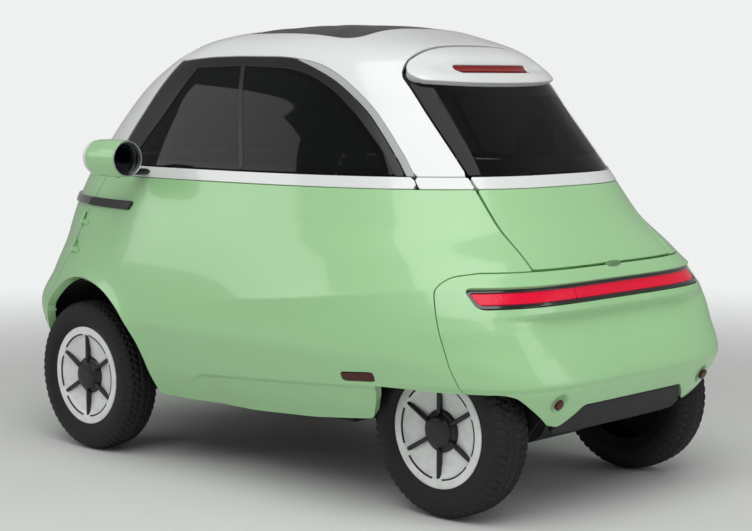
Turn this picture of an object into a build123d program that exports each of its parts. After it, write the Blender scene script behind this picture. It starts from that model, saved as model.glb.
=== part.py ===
from build123d import *
import math
import os

# Two-seat microcar with a front door and a rear hatch.
# Millimetres.  +X forward, +Y to the car's left, +Z up.
# The origin is on the ground, below the middle of the car's length.

# ---------------------------------------------------------------- driving dimensions
WHEELBASE = 1566
FRONT_AXLE_X = 683
REAR_AXLE_X = FRONT_AXLE_X - WHEELBASE
TYRE_RADIUS = 266.6
TYRE_WIDTH = 145
RIM_RADIUS = 166
FRONT_TRACK = 1194
REAR_TRACK = 932
AXLE_Z = TYRE_RADIUS

WALL = 34               # skin, frame and lining of the body together
ROOF_WALL = 40
SEAM = 6                # gap along each opening panel
REST_GAP = 0.3          # fit between pieces that lie on each other
GLASS_INSET = 8         # glass sits this far inside the skin
GLASS = 5
FLOOR_Z = 262
FLOOR_THICK = 36

BELT_Z = 985            # top of the green lower body
DECK_Z = 758            # bottom of the hatch, top of the rear bumper
SKIRT_Z = 412           # lower edge over the rear wheels
SILL_RISE_X = -116      # the sill's lower edge rises behind this
DOOR_BOTTOM_Z = 440
DOOR_SEAM_X = 644       # front door seam where it crosses the belt plane
DOOR_SEAM_Z = 959
DOOR_SEAM_SLOPE = 0.63  # the seam runs forward by this much for each unit down
BUMPER_SEAM_X = -943
BUMPER_SEAM_Z = 718
BUMPER_SEAM_SLOPE = 0.39
HATCH_HALF = 352
HATCH_TOP_X = -560      # hatch seam on the roof

FRONT_VOID_R = 338      # clear radius round a steered front tyre
REAR_VOID_R = 300
FRONT_VOID_Y = 372      # inner wall of the front wheel well
REAR_VOID_Y = 372
LINER = 5
SHAFT_HOLE_R = 30

SEAT_X = -215
SEAT_HALF = 515
SEAT_TOP_Z = 560
SEAT_DEPTH = 450
SEAT_THICK = 150
BACK_THICK = 110
BACK_HEIGHT = 520
BACK_TILT = 14
SOFT_EDGE = 30

STEER_WHEEL_R = 175
STEER_RIM = 13
STEER_CENTRE = (450, 270, 980)
COLUMN_LEN = 290
STEER_TILT = 62         # of the column from the vertical
KINGPIN_Y = 495

X_WIDE = 200            # the body is widest here, below the roof's dome
# Plan sections of the body: height, foremost x, widest x, rearmost x, half width,
# roundness of the front corners, roundness of the rear corners.
BODY = [
    (236, 1112, X_WIDE, -1157, 596, 3.0, 4.6),
    (340, 1220, X_WIDE, -1225, 662, 3.2, 5.1),
    (430, 1256, X_WIDE, -1255, 705, 3.2, 5.1),
    (520, 1259, X_WIDE, -1225, 736, 3.0, 4.9),
    (620, 1250, X_WIDE, -1185, 727, 2.55, 4.7),
    (764, 1215, X_WIDE, -1125, 700, 2.3, 3.6),
    (880, 1162, X_WIDE, -1035, 668, 2.35, 3.0),
    (990, 1090, X_WIDE, -962, 630, 2.4, 2.9),
    (1200, 870, X_WIDE, -780, 555, 2.55, 3.1),
    (1320, 700, X_WIDE, -672, 505, 2.65, 3.4),
    (1390, 565, X_WIDE, -620, 462, 2.65, 3.3),
    (1450, 410, 150, -470, 385, 2.6, 3.0),
    (1490, 170, -20, -300, 240, 2.5, 2.8),
    (1501, 0, -70, -140, 90, 2.3, 2.4),
]
BODY_TOP_Z = BODY[-1][0]
BODY_BOTTOM_Z = BODY[0][0]
FAR = 3000              # reaches past the car on every side
NOSE_SHARE = 0.55       # the arc across the nose and the tail covers this share of the half width
FLANK_SHARE = 0.5       # the arc along the flank covers this share of the length


def body_point(row, inset, along, across):
    """A point of a section from its signed shares of the length and of the width."""
    z, x_front, x_wide, x_rear, half, _, _ = row
    reach = x_front - inset - x_wide if along > 0 else x_wide - x_rear - inset
    return (x_wide + reach * along, (half - inset) * across, z)


def corner_shares(roundness):
    """Shares along and across at the ends, the quarters and the middle of a corner."""
    ends = [(FLANK_SHARE, (1 - FLANK_SHARE ** roundness) ** (1 / roundness)),
            ((1 - NOSE_SHARE ** roundness) ** (1 / roundness), NOSE_SHARE)]
    first = math.atan2(ends[0][1] ** (roundness / 2), ends[0][0] ** (roundness / 2))
    last = math.atan2(ends[1][1] ** (roundness / 2), ends[1][0] ** (roundness / 2))
    turns = [first + (last - first) * k / 4 for k in range(5)]
    return [(math.cos(t) ** (2 / roundness), math.sin(t) ** (2 / roundness)) for t in turns]


def body_section(row, inset):
    """A closed outline of arcs: one over each end, one along each flank, two round each corner."""
    front, rear = corner_shares(row[5]), corner_shares(row[6])
    left = [(a, c) for a, c in reversed(front)] + [(0, 1)] + [(-a, c) for a, c in rear] + [(-1, 0)]
    right = [(-a, -c) for a, c in reversed(rear)] + [(0, -1)] + [(a, -c) for a, c in front] + [(1, 0)]
    shares = left + right
    points = [body_point(row, inset, a, c) for a, c in shares]
    closed = points + points[:1]
    starts = range(0, len(points), 2)
    return Face(Wire([ThreePointArc(closed[k], closed[k + 1], closed[k + 2]) for k in starts]))


def body_solid(inset, rows=BODY):
    return loft([body_section(row, inset) for row in rows], ruled=True)


def block(x0, x1, y0, y1, z0, z1):
    return Pos((x0 + x1) / 2, (y0 + y1) / 2, (z0 + z1) / 2) * Box(abs(x1 - x0), abs(y1 - y0), abs(z1 - z0))


def cylinder_y(x, z, radius, y0, y1):
    return Pos(x, (y0 + y1) / 2, z) * Rot(90, 0, 0) * Cylinder(radius, abs(y1 - y0))


def rod(a, b, radius):
    """A round bar from point a to point b."""
    run = Vector(*b) - Vector(*a)
    return extrude(Plane(origin=a, z_dir=run) * Circle(radius), run.length)


def side_prism(points, y0, y1):
    """A prism across the car over an outline in X and Z."""
    outline = Face(Wire(Polyline([(x, y0, z) for x, z in points], close=True).edges()))
    return extrude(outline, y1 - y0, dir=(0, 1, 0))


def mirrored(shape):
    return mirror(shape, about=Plane.XZ)


def both(shape):
    return Compound([*shape.solids(), *mirrored(shape).solids()])


def seam_x(z):
    return DOOR_SEAM_X + DOOR_SEAM_SLOPE * (DOOR_SEAM_Z - z)


def ahead_of_door_seam(gap):
    """Everything in front of the front door's seam plane, moved forward by the gap."""
    low, high = -200, 2000
    points = [(seam_x(low) + gap, low), (FAR, low), (FAR, high), (seam_x(high) + gap, high)]
    return side_prism(points, -FAR, FAR)


def bumper_seam_x(z):
    return BUMPER_SEAM_X - BUMPER_SEAM_SLOPE * (BUMPER_SEAM_Z - z)


def behind_bumper_seam(gap):
    low, high = -200, 2000
    points = [(bumper_seam_x(low) - gap, low), (bumper_seam_x(high) - gap, high), (-FAR, high), (-FAR, low)]
    return side_prism(points, -FAR, FAR)


# ---------------------------------------------------------------- the shell and its cuts
outer = body_solid(0)
inner_rows = [row for row in BODY if row[0] <= BODY_TOP_Z - ROOF_WALL]
inner = body_solid(WALL, inner_rows)
shell = outer - inner
room = body_solid(WALL + REST_GAP, inner_rows)

hatch_pin = (HATCH_TOP_X + 60, 0, 1384)
HATCH_SEAM_R = 70       # the hatch's front edge runs round its hinge at this radius
hatch_zone = block(-FAR, hatch_pin[0], -HATCH_HALF, HATCH_HALF, DECK_Z, FAR)
hatch_zone -= cylinder_y(hatch_pin[0], hatch_pin[2], HATCH_SEAM_R, -FAR, FAR)
hatch_hole = block(-FAR, hatch_pin[0], -HATCH_HALF - SEAM, HATCH_HALF + SEAM, DECK_Z - SEAM, FAR)
hatch_hole -= cylinder_y(hatch_pin[0], hatch_pin[2], HATCH_SEAM_R - SEAM, -FAR, FAR)


def level_row(z):
    """The section of the body at any height, between the rows of the table."""
    for low, high in zip(BODY, BODY[1:]):
        if low[0] <= z <= high[0]:
            share = (z - low[0]) / (high[0] - low[0])
            return tuple(a + share * (b - a) for a, b in zip(low, high))


def skin_y(x, z):
    """Half width of the body at a place."""
    _, x_front, x_wide, x_rear, half, n_front, n_rear = level_row(z)
    reach, power = (x_front - x_wide, n_front) if x > x_wide else (x_wide - x_rear, n_rear)
    return half * (1 - min(1, abs(x - x_wide) / reach) ** power) ** (1 / power)


# ---------------------------------------------------------------- openings in the skin
WINDOW_LOW_Z = 1022
window_outline = Wire([
    Line((470, 0, WINDOW_LOW_Z), (255, 0, 1354)),
    Line((255, 0, 1354), (-160, 0, 1358)),
    ThreePointArc((-160, 0, 1358), (-300, 0, 1328), (-400, 0, 1282)),
    ThreePointArc((-400, 0, 1282), (-560, 0, 1160), (-680, 0, WINDOW_LOW_Z)),
    Line((-680, 0, WINDOW_LOW_Z), (470, 0, WINDOW_LOW_Z)),
])
window_cut = extrude(Face(window_outline), FAR, dir=(0, 1, 0), both=True)

arch_outline = Wire([
    ThreePointArc((1040, 0, 230), (990, 0, 356), (908, 0, 456)),
    ThreePointArc((908, 0, 456), (853, 0, 540), (781, 0, 602)),
    ThreePointArc((781, 0, 602), (620, 0, 634), (466, 0, 592)),
    ThreePointArc((466, 0, 592), (356, 0, 506), (318, 0, 400)),
    Line((318, 0, 400), (336, 0, 230)),
    Line((336, 0, 230), (1040, 0, 230)),
])
arch_cut = extrude(Face(arch_outline), FAR, dir=(0, 1, 0), both=True)

skirt_points = [(SILL_RISE_X, BODY_BOTTOM_Z), (-691, 289), (-770, SKIRT_Z), (-FAR, SKIRT_Z), (-FAR, 200),
                (SILL_RISE_X, 200)]
rear_skirt_cut = side_prism(skirt_points, -FAR, FAR)

BUMPER_TOP_Z = DECK_Z - SEAM
EAR_Z = 296
DIFFUSER_Z = 354
DIFFUSER_HALF = 320
# lower edge of the rear bumper, seen from behind: skirt, ear, diffuser
bumper_edge = [(FAR, SKIRT_Z), (530, SKIRT_Z), (371, 307), (320, EAR_Z), (283, 328), (247, DIFFUSER_Z)]
bumper_points = bumper_edge + [(-y, z) for y, z in reversed(bumper_edge)] + [(-FAR, 100), (FAR, 100)]
bumper_face = Face(Wire(Polyline([(0, y, z) for y, z in bumper_points], close=True).edges()))
under_bumper = extrude(bumper_face, FAR, dir=(-1, 0, 0))

SCREEN_LOW = (500, 1040)    # half width and height of the windshield's lower edge
SCREEN_TOP = (385, 1395)
screen_points = [(SCREEN_LOW[0], SCREEN_LOW[1]), (SCREEN_TOP[0], SCREEN_TOP[1])]
screen_points += [(-y, z) for y, z in reversed(screen_points)]
screen_face = Face(Wire(Polyline([(0, y, z) for y, z in screen_points], close=True).edges()))
screen_cut = extrude(screen_face, FAR, dir=(1, 0, 0))

REAR_GLASS_HALF = 318
REAR_GLASS_Z = (1032, 1300)
rear_glass_cut = block(-FAR, -400, -REAR_GLASS_HALF, REAR_GLASS_HALF, *REAR_GLASS_Z)

glass_layer = body_solid(GLASS_INSET) - body_solid(GLASS_INSET + GLASS, inner_rows)

# ---------------------------------------------------------------- fixed body
parts = {}
fixed = shell - ahead_of_door_seam(0) - hatch_hole
lower = fixed & block(-FAR, FAR, -FAR, FAR, 0, BELT_Z)
upper = fixed & block(-FAR, FAR, -FAR, FAR, BELT_Z, FAR)
bumper_zone = behind_bumper_seam(0) & block(-FAR, FAR, -FAR, FAR, 0, BUMPER_TOP_Z)
sides = lower - bumper_zone - arch_cut - rear_skirt_cut
parts["body_side_left"] = sides & block(-FAR, FAR, 0, FAR, 0, FAR)
parts["body_side_right"] = sides & block(-FAR, FAR, -FAR, 0, 0, FAR)

SUNROOF_X = (-330, 190)
SUNROOF_HALF = 330
SUNROOF_THICK = 26
sunroof_zone = extrude(Pos(sum(SUNROOF_X) / 2, 0, 1400) * RectangleRounded(
    SUNROOF_X[1] - SUNROOF_X[0], 2 * SUNROOF_HALF, 60), 200)
sunroof_layer = outer - Pos(0, 0, -SUNROOF_THICK) * outer
roof = upper - window_cut
parts["sunroof_panel"] = sunroof_layer & sunroof_zone
parts["roof_shell"] = roof - (sunroof_layer & sunroof_zone)

LAMP_Z = (656, 711)
LAMP_HALF = 572
LAMP_DEPTH = 14
lamp_zone = block(-FAR, -985, -LAMP_HALF, LAMP_HALF, *LAMP_Z)
lamp_pocket = lamp_zone - body_solid(LAMP_DEPTH)
# the rear tyre's clear space: a cylinder with its outer edge chamfered
REAR_CLEAR = 12
rear_tyre_y = REAR_TRACK / 2
clear_profile = [(rear_tyre_y - 78, 0), (rear_tyre_y - 78, TYRE_RADIUS + REAR_CLEAR),
                 (rear_tyre_y + 56, TYRE_RADIUS + REAR_CLEAR), (rear_tyre_y + 82, 238),
                 (rear_tyre_y + 82, 0)]
clear_face = Face(Wire(Polyline([(0, y, r) for y, r in clear_profile], close=True).edges()))
rear_clear = Pos(REAR_AXLE_X, 0, AXLE_Z) * revolve(clear_face, Axis((0, 0, 0), (0, 1, 0)), 360)
bumper = shell - both(rear_clear)
bumper = bumper & behind_bumper_seam(0) & block(-FAR, FAR, -FAR, FAR, 0, BUMPER_TOP_Z)
parts["rear_bumper"] = bumper - under_bumper - lamp_pocket
parts["tail_lamp"] = (body_solid(1) & lamp_zone) - body_solid(LAMP_DEPTH)

diffuser_shape = body_solid(10) - inner
diffuser_zone = block(-FAR, -950, -DIFFUSER_HALF, DIFFUSER_HALF, FLOOR_Z, FAR) & under_bumper
parts["rear_diffuser"] = diffuser_shape & diffuser_zone

front_low = shell & ahead_of_door_seam(0) & block(-FAR, FAR, -FAR, FAR, 0, DOOR_BOTTOM_Z - SEAM)
parts["front_bumper"] = front_low - arch_cut

panes = glass_layer & window_cut
parts["side_glass"] = panes

front_void = cylinder_y(FRONT_AXLE_X, AXLE_Z, FRONT_VOID_R + LINER, FRONT_VOID_Y - LINER, FAR)
rear_void = cylinder_y(REAR_AXLE_X, AXLE_Z, REAR_VOID_R + LINER, REAR_VOID_Y - LINER, FAR)
front_liner = front_void - cylinder_y(FRONT_AXLE_X, AXLE_Z, FRONT_VOID_R, FRONT_VOID_Y, FAR)
rear_liner = rear_void - cylinder_y(REAR_AXLE_X, AXLE_Z, REAR_VOID_R, REAR_VOID_Y, FAR)
rear_liner -= cylinder_y(REAR_AXLE_X, AXLE_Z, SHAFT_HOLE_R, 0, FAR)
floor_top = FLOOR_Z + FLOOR_THICK
for end, liner in (("front", front_liner), ("rear", rear_liner)):
    liner = liner & room & block(-FAR, FAR, 0, FAR, FLOOR_Z, FAR)
    parts[f"{end}_arch_liners"] = both(liner)

FLOOR_X = (-640, 1060)
floor = room & block(*FLOOR_X, -FAR, FAR, FLOOR_Z, floor_top)
floor -= both(front_void) + both(rear_void)
parts["floor_platform"] = floor

# ---------------------------------------------------------------- front door
HINGE_OUT = 8           # the hinge axis stands this far outside the skin
axis_low = (791, skin_y(791, 680) + HINGE_OUT, 680)
axis_high = (715, skin_y(715, 890) + HINGE_OUT, 890)


def axis_point(z):
    share = (z - axis_low[2]) / (axis_high[2] - axis_low[2])
    return tuple(a + share * (b - a) for a, b in zip(axis_low, axis_high))


DOOR_GAP_X = SEAM / math.cos(math.atan(DOOR_SEAM_SLOPE))
door_shell = shell & ahead_of_door_seam(DOOR_GAP_X) & block(-FAR, FAR, -FAR, FAR, DOOR_BOTTOM_Z, FAR)
parts["front_door"] = door_shell - screen_cut
parts["windshield"] = glass_layer & screen_cut & ahead_of_door_seam(DOOR_GAP_X)

BAR_Z = (875, 903)
BAR_OUT = 12
BAR_IN = 2
BAR_REAR_X = 412
bar_layer = (body_solid(-BAR_OUT) - body_solid(0)) & block(0, FAR, -FAR, FAR, *BAR_Z)
parts["front_light_bar"] = bar_layer & ahead_of_door_seam(DOOR_GAP_X)
side_bar = bar_layer & block(BAR_REAR_X, FAR, 0, FAR, 0, FAR)
side_bar -= ahead_of_door_seam(0)
parts["side_bars"] = both(side_bar)

DASH_Z = (800, 880)
DASH_X = (760, 850)
dash = room & block(*DASH_X, -FAR, FAR, *DASH_Z)
parts["door_dash_bar"] = dash


# door hinge: two barrels and a pin in line with the hinge axis, high and low on the left seam
BARREL_R = 5.5
BARREL_LEN = 26
PIN_R = 3
PIN_FIT = 0.1
STRAP = 5
STRAP_LEN = 58
STRAP_HEIGHT = 16
hinge_heights = (700, 800)


def along_axis(z, offset, radius, length):
    """A cylinder on the door's hinge axis, starting at an offset from height z."""
    a, b = Vector(*axis_point(z)), Vector(*axis_point(z + 100))
    unit = (b - a).normalized()
    start = a + unit * offset
    return rod(start, start + unit * length, radius)


def hinge_strap(z, offset, direction):
    """A flat strap from the barrel at height z along the skin, to the front or to the rear."""
    centre = Vector(*axis_point(z + offset + BARREL_LEN / 2))
    x0, x1 = centre.X, centre.X + direction * STRAP_LEN
    y1 = skin_y(x1, centre.Z)
    low, high = centre.Z - STRAP_HEIGHT / 2, centre.Z + STRAP_HEIGHT / 2
    points = [(x0, centre.Y + 1), (x1, y1 + STRAP), (x1, y1 - STRAP), (x0, centre.Y - STRAP)]
    face = Face(Wire(Polyline([(x, y, low) for x, y in points], close=True).edges()))
    return extrude(face, high - low, dir=(0, 0, 1))


skin_guard = body_solid(-1)
skin_touch = body_solid(-REST_GAP)
near_door = skin_guard & ahead_of_door_seam(0)
near_body = skin_guard - ahead_of_door_seam(DOOR_GAP_X)
fixed_hinge = []
door_hinge = []
for z in hinge_heights:
    lower_leaf = along_axis(z, 0, BARREL_R, BARREL_LEN) + hinge_strap(z, 0, -1)
    lower_leaf -= skin_touch + near_door
    fixed_hinge += (lower_leaf + along_axis(z, BARREL_LEN / 2, PIN_R, 1.5 * BARREL_LEN)).solids()
    upper_leaf = along_axis(z, BARREL_LEN + 1, BARREL_R, BARREL_LEN) + hinge_strap(z, BARREL_LEN + 1, 1)
    upper_leaf -= skin_touch + near_body + along_axis(z, 0, PIN_R + PIN_FIT, 4 * BARREL_LEN)
    door_hinge += upper_leaf.solids()
parts["door_hinge_pins"] = Compound(fixed_hinge)
parts["door_hinge_barrels"] = Compound(door_hinge)

# ---------------------------------------------------------------- hatch
hatch_shell = shell & hatch_zone
parts["hatch"] = hatch_shell - rear_glass_cut
parts["rear_glass"] = glass_layer & rear_glass_cut & hatch_zone
BRAKE_LAMP_HALF = 177
BRAKE_LAMP_Z = (1342, 1358)
brake_zone = block(-FAR, -520, -BRAKE_LAMP_HALF, BRAKE_LAMP_HALF, *BRAKE_LAMP_Z)
brake_pocket = brake_zone - body_solid(10)
parts["hatch"] -= brake_pocket
parts["high_brake_lamp"] = (body_solid(1) & brake_zone) - body_solid(10)

# two hooked arms carry the hatch round the edge of the roof
ARM_Y = 150
ARM_WIDTH = 14
HOOK_R = (76, 86)
HOOK_ANGLES = (165, 252)
hook_x, hook_z = hatch_pin[0], hatch_pin[2]


def polar(radius, angle):
    turn = math.radians(angle)
    return (hook_x + radius * math.cos(turn), 0, hook_z + radius * math.sin(turn))


hook_middle = sum(HOOK_ANGLES) / 2
hook_in = [polar(HOOK_R[0], angle) for angle in (HOOK_ANGLES[0], hook_middle, HOOK_ANGLES[1])]
hook_out = [polar(HOOK_R[1], angle) for angle in (HOOK_ANGLES[1], hook_middle, HOOK_ANGLES[0])]
hook = Face(Wire([
    ThreePointArc(*hook_in),
    Line(hook_in[2], hook_out[0]),
    ThreePointArc(*hook_out),
    Line(hook_out[2], hook_in[0]),
]))
hook = extrude(hook, ARM_WIDTH, dir=(0, 1, 0))
bar_face = Wire(Polyline([polar(0, 0), polar(HOOK_R[0] + 6, HOOK_ANGLES[1] - 4),
                          polar(HOOK_R[0] + 6, HOOK_ANGLES[1]), polar(6, 0)], close=True).edges())
hook += extrude(Face(bar_face), ARM_WIDTH, dir=(0, 1, 0))
hook += cylinder_y(hook_x, hook_z, 11, 0, ARM_WIDTH)
hook -= cylinder_y(hook_x, hook_z, PIN_R + PIN_FIT, -5, ARM_WIDTH + 5)
arm = Pos(0, ARM_Y, 0) * hook
arm -= (outer - inner)
parts["hatch_arms"] = both(arm.solids().sort_by(SortBy.VOLUME)[-1])
lug = block(hook_x - 12, hook_x + 12, ARM_Y - 8, ARM_Y - 1, hook_z - 12, hook_z + 60) & room
lug += cylinder_y(hook_x, hook_z, PIN_R, ARM_Y - 8, ARM_Y + ARM_WIDTH + 4)
parts["hatch_hinge_pins"] = both(lug)

# ---------------------------------------------------------------- wheels
HUB_R = 52
COVER_OUT = 60          # the cover stands this far outside the tyre's middle plane
SPOKES = 6


def ring_profile(points):
    return Face(Wire(Polyline([(0, y, r) for y, r in points], close=True).edges()))


half_tyre = TYRE_WIDTH / 2
tyre_points = [(-52, RIM_RADIUS), (-56, 180), (-half_tyre, 212), (-68, 240), (-54, TYRE_RADIUS - 8),
               (-30, TYRE_RADIUS - 1), (0, TYRE_RADIUS), (30, TYRE_RADIUS - 1), (54, TYRE_RADIUS - 8),
               (68, 240), (half_tyre, 212), (56, 180), (52, RIM_RADIUS)]
axle_line = Axis((0, 0, 0), (0, 1, 0))
tyre = revolve(ring_profile(tyre_points), axle_line, 360)

RIM_WALL = 6
COVER_DISH = 22
wheel_points = [(-52, RIM_RADIUS - REST_GAP), (-52, RIM_RADIUS - RIM_WALL), (30, RIM_RADIUS - RIM_WALL),
                (34, 60), (20, HUB_R), (20, 0), (COVER_OUT + 4, 0), (COVER_OUT + 2, 40),
                (COVER_OUT - 12, HUB_R), (COVER_OUT - COVER_DISH, 120), (COVER_OUT - 2, 160), (COVER_OUT, 174),
                (57, 174), (53, RIM_RADIUS - REST_GAP)]
wheel = revolve(ring_profile(wheel_points), axle_line, 360)
spoke = block(-7, 7, COVER_OUT - COVER_DISH - 4, COVER_OUT - 4, 48, 150)
for k in range(SPOKES):
    wheel += Rot(0, 360 / SPOKES * k, 0) * spoke

wheel_places = {
    "front_left": (FRONT_AXLE_X, FRONT_TRACK / 2),
    "front_right": (FRONT_AXLE_X, -FRONT_TRACK / 2),
    "rear_left": (REAR_AXLE_X, REAR_TRACK / 2),
    "rear_right": (REAR_AXLE_X, -REAR_TRACK / 2),
}
for place, (x, y) in wheel_places.items():
    turn = Rot(0, 0, 0) if y > 0 else Rot(0, 0, 180)
    parts[f"tyre_{place}"] = Pos(x, y, AXLE_Z) * turn * tyre
    parts[f"wheel_{place}"] = Pos(x, y, AXLE_Z) * turn * wheel

# ---------------------------------------------------------------- running gear
STUB_R = 16
KNUCKLE_R = 20
KNUCKLE_HALF = 62
ARM_Z = AXLE_Z - KNUCKLE_HALF - 10
hub_face_y = FRONT_TRACK / 2 + 20
knuckle = Pos(FRONT_AXLE_X, KINGPIN_Y, AXLE_Z) * Cylinder(KNUCKLE_R, 2 * KNUCKLE_HALF)
knuckle += cylinder_y(FRONT_AXLE_X, AXLE_Z, STUB_R, KINGPIN_Y, hub_face_y - REST_GAP)
knuckle += cylinder_y(FRONT_AXLE_X, AXLE_Z, 44, KINGPIN_Y + 22, KINGPIN_Y + 34)
parts["knuckle_left"] = knuckle
parts["knuckle_right"] = mirrored(knuckle)

front_frame = block(FRONT_AXLE_X - 60, FRONT_AXLE_X + 60, -300, 300, FLOOR_Z - 60, FLOOR_Z)
lower_arm = block(FRONT_AXLE_X - 26, FRONT_AXLE_X + 26, 250, KINGPIN_Y + 18, ARM_Z - 12,
                  AXLE_Z - KNUCKLE_HALF - REST_GAP)
front_frame += both(lower_arm)
parts["front_subframe"] = front_frame
STRUT_R = 17
strut_low = AXLE_Z + KNUCKLE_HALF + REST_GAP
strut_top = AXLE_Z + math.sqrt(FRONT_VOID_R ** 2 - STRUT_R ** 2) - REST_GAP
strut = rod((FRONT_AXLE_X, KINGPIN_Y, strut_low), (FRONT_AXLE_X, KINGPIN_Y, strut_top), STRUT_R)
parts["front_struts"] = both(strut)

REAR_TUBE_R = 26
rear_hub_y = REAR_TRACK / 2 + 20
DRIVE_HALF = 120
half_shaft = cylinder_y(REAR_AXLE_X, AXLE_Z, STUB_R, DRIVE_HALF, rear_hub_y - REST_GAP)
SWING_Y = (300, 350)
SWING_X = -560          # front end of the swing arms, under the floor
swing_points = [(REAR_AXLE_X - 32, AXLE_Z - 30), (REAR_AXLE_X - 32, AXLE_Z + 30),
                (REAR_AXLE_X + 30, AXLE_Z + 30), (FLOOR_X[0] - 5, FLOOR_Z), (SWING_X, FLOOR_Z),
                (SWING_X, FLOOR_Z - 50), (REAR_AXLE_X + 30, AXLE_Z - 30)]
swing = side_prism(swing_points, *SWING_Y)
swing -= cylinder_y(REAR_AXLE_X, AXLE_Z, STUB_R + REST_GAP, 0, 500)
parts["half_shafts"] = both(half_shaft)
parts["rear_swing_arms"] = both(swing)
drive = cylinder_y(REAR_AXLE_X, AXLE_Z, 95, -DRIVE_HALF, DRIVE_HALF)
GEAR_HALF = DRIVE_HALF - 10
drive += block(REAR_AXLE_X - 40, REAR_AXLE_X + 190, -GEAR_HALF, GEAR_HALF, AXLE_Z - 70, AXLE_Z + 80)
drive += block(REAR_AXLE_X + 150, FLOOR_X[0] + 40, -250, 250, AXLE_Z - 20, FLOOR_Z)
parts["drive_unit"] = drive

# ---------------------------------------------------------------- cabin
battery = block(SEAT_X - SEAT_DEPTH / 2, SEAT_X + SEAT_DEPTH / 2 - 40, -SEAT_HALF + 40, SEAT_HALF - 40,
                floor_top, SEAT_TOP_Z - SEAT_THICK)
parts["battery_box"] = battery
cushion = block(SEAT_X - SEAT_DEPTH / 2, SEAT_X + SEAT_DEPTH / 2, -SEAT_HALF, SEAT_HALF,
                SEAT_TOP_Z - SEAT_THICK + REST_GAP, SEAT_TOP_Z)
parts["seat_cushion"] = fillet(cushion.edges(), SOFT_EDGE)
# the rounded lower edge of the backrest rests against the back of the cushion
touch_z = SEAT_TOP_Z - SEAT_THICK + REST_GAP + SOFT_EDGE
tilt = math.radians(BACK_TILT)
back_foot = (SEAT_X - SEAT_DEPTH / 2 - REST_GAP + SOFT_EDGE * (math.cos(tilt) + math.sin(tilt) - 1),
             touch_z - SOFT_EDGE * (math.cos(tilt) - math.sin(tilt)))
back = Pos(-BACK_THICK / 2, 0, BACK_HEIGHT / 2) * Box(BACK_THICK, 2 * SEAT_HALF - 60, BACK_HEIGHT)
back = fillet(back.edges(), SOFT_EDGE)
lean = Pos(back_foot[0], 0, back_foot[1]) * Rot(0, -BACK_TILT, 0)
parts["seat_backrest"] = lean * back
HEADREST_Y = 245
HEADREST_R = 95
HEADREST_RISE = 196     # from the top of the backrest to the headrest's middle
head_place = Pos(-BACK_THICK / 2, HEADREST_Y, BACK_HEIGHT + HEADREST_RISE)
head = head_place * Rot(0, 90, 0) * Cylinder(HEADREST_R, 80)
head = fillet(head.edges(), 24)
stem_top = HEADREST_RISE - HEADREST_R + 1.7
stem_place = Pos(-BACK_THICK / 2, HEADREST_Y, BACK_HEIGHT + (stem_top + REST_GAP) / 2)
stem = stem_place * Cylinder(9, stem_top - REST_GAP)
parts["headrests"] = both(lean * (head + stem))
SHELF_Z = (590, 602)
SHELF_X = (-1010, -640)
SHELF_STEP = 6          # the shelf's top stands back from the walls, which lean in over it
shelf_low = room & block(*SHELF_X, -FAR, FAR, SHELF_Z[0], SHELF_Z[0] + SHELF_STEP)
shelf_top = body_solid(WALL + SHELF_STEP, inner_rows)
shelf_top &= block(*SHELF_X, -FAR, FAR, SHELF_Z[0] + SHELF_STEP, SHELF_Z[1])
parts["luggage_floor"] = shelf_low + shelf_top
bulkhead_half = REAR_VOID_Y - LINER
bulkhead = block(SHELF_X[1], SHELF_X[1] + 12, -bulkhead_half, bulkhead_half, floor_top, SHELF_Z[1])
parts["rear_bulkhead"] = bulkhead
parts["luggage_floor"] -= both(rear_void)

centre = Vector(*STEER_CENTRE)
axis_dir = Vector(-math.cos(math.radians(90 - STEER_TILT)), 0, math.sin(math.radians(90 - STEER_TILT)))
wheel_plane = Plane(origin=centre, x_dir=(0, 1, 0), z_dir=axis_dir)
rim = wheel_plane * Torus(STEER_WHEEL_R, STEER_RIM)
hub = wheel_plane * Cylinder(34, 30)
bar = Pos(STEER_WHEEL_R / 2, 0, 0) * Box(STEER_WHEEL_R, 30, 12)
bars = [wheel_plane * Rot(0, 0, turn) * bar for turn in (0, 180, 270)]
parts["steering_wheel"] = rim + hub + bars[0] + bars[1] + bars[2]
column_top = centre - axis_dir * (15 + REST_GAP)
column_foot = centre - axis_dir * COLUMN_LEN
column = rod(column_foot, column_top, 24)
post = rod((column_foot.X, column_foot.Y, floor_top), column_foot, 30)
parts["steering_column"] = column + post

# ---------------------------------------------------------------- outside pieces
POD_R = 64
POD_X = (297, 475)
POD_Y = 752
POD_Z = 1053
pod = Pos(sum(POD_X) / 2, POD_Y, POD_Z) * Rot(0, 90, 0) * Cylinder(POD_R, POD_X[1] - POD_X[0])
pod = fillet(pod.edges(), 14)
FOOT_Z = 992
foot_points = [(330, skin_y(330, 1000) - 4), (430, skin_y(430, 1000) - 4),
               (410, POD_Y - 30), (350, POD_Y - 30)]
foot_face = Face(Wire(Polyline([(x, y, FOOT_Z) for x, y in foot_points], close=True).edges()))
foot = extrude(foot_face, 26, dir=(0, 0, 1))
pod_whole = (pod + foot) - outer
parts["mirror_pods"] = both(pod_whole)

os.makedirs("parts", exist_ok=True)
for name, solid in parts.items():
    solids = solid.solids()
    export_step(solids[0] if len(solids) == 1 else Compound(solids), f"parts/{name}.step")
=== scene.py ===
"""The dressed two-seat microcar: painted panels, glazing, wheels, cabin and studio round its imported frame."""

import logging
import math
from dataclasses import dataclass
from enum import Enum
from typing import Callable, Sequence

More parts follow.
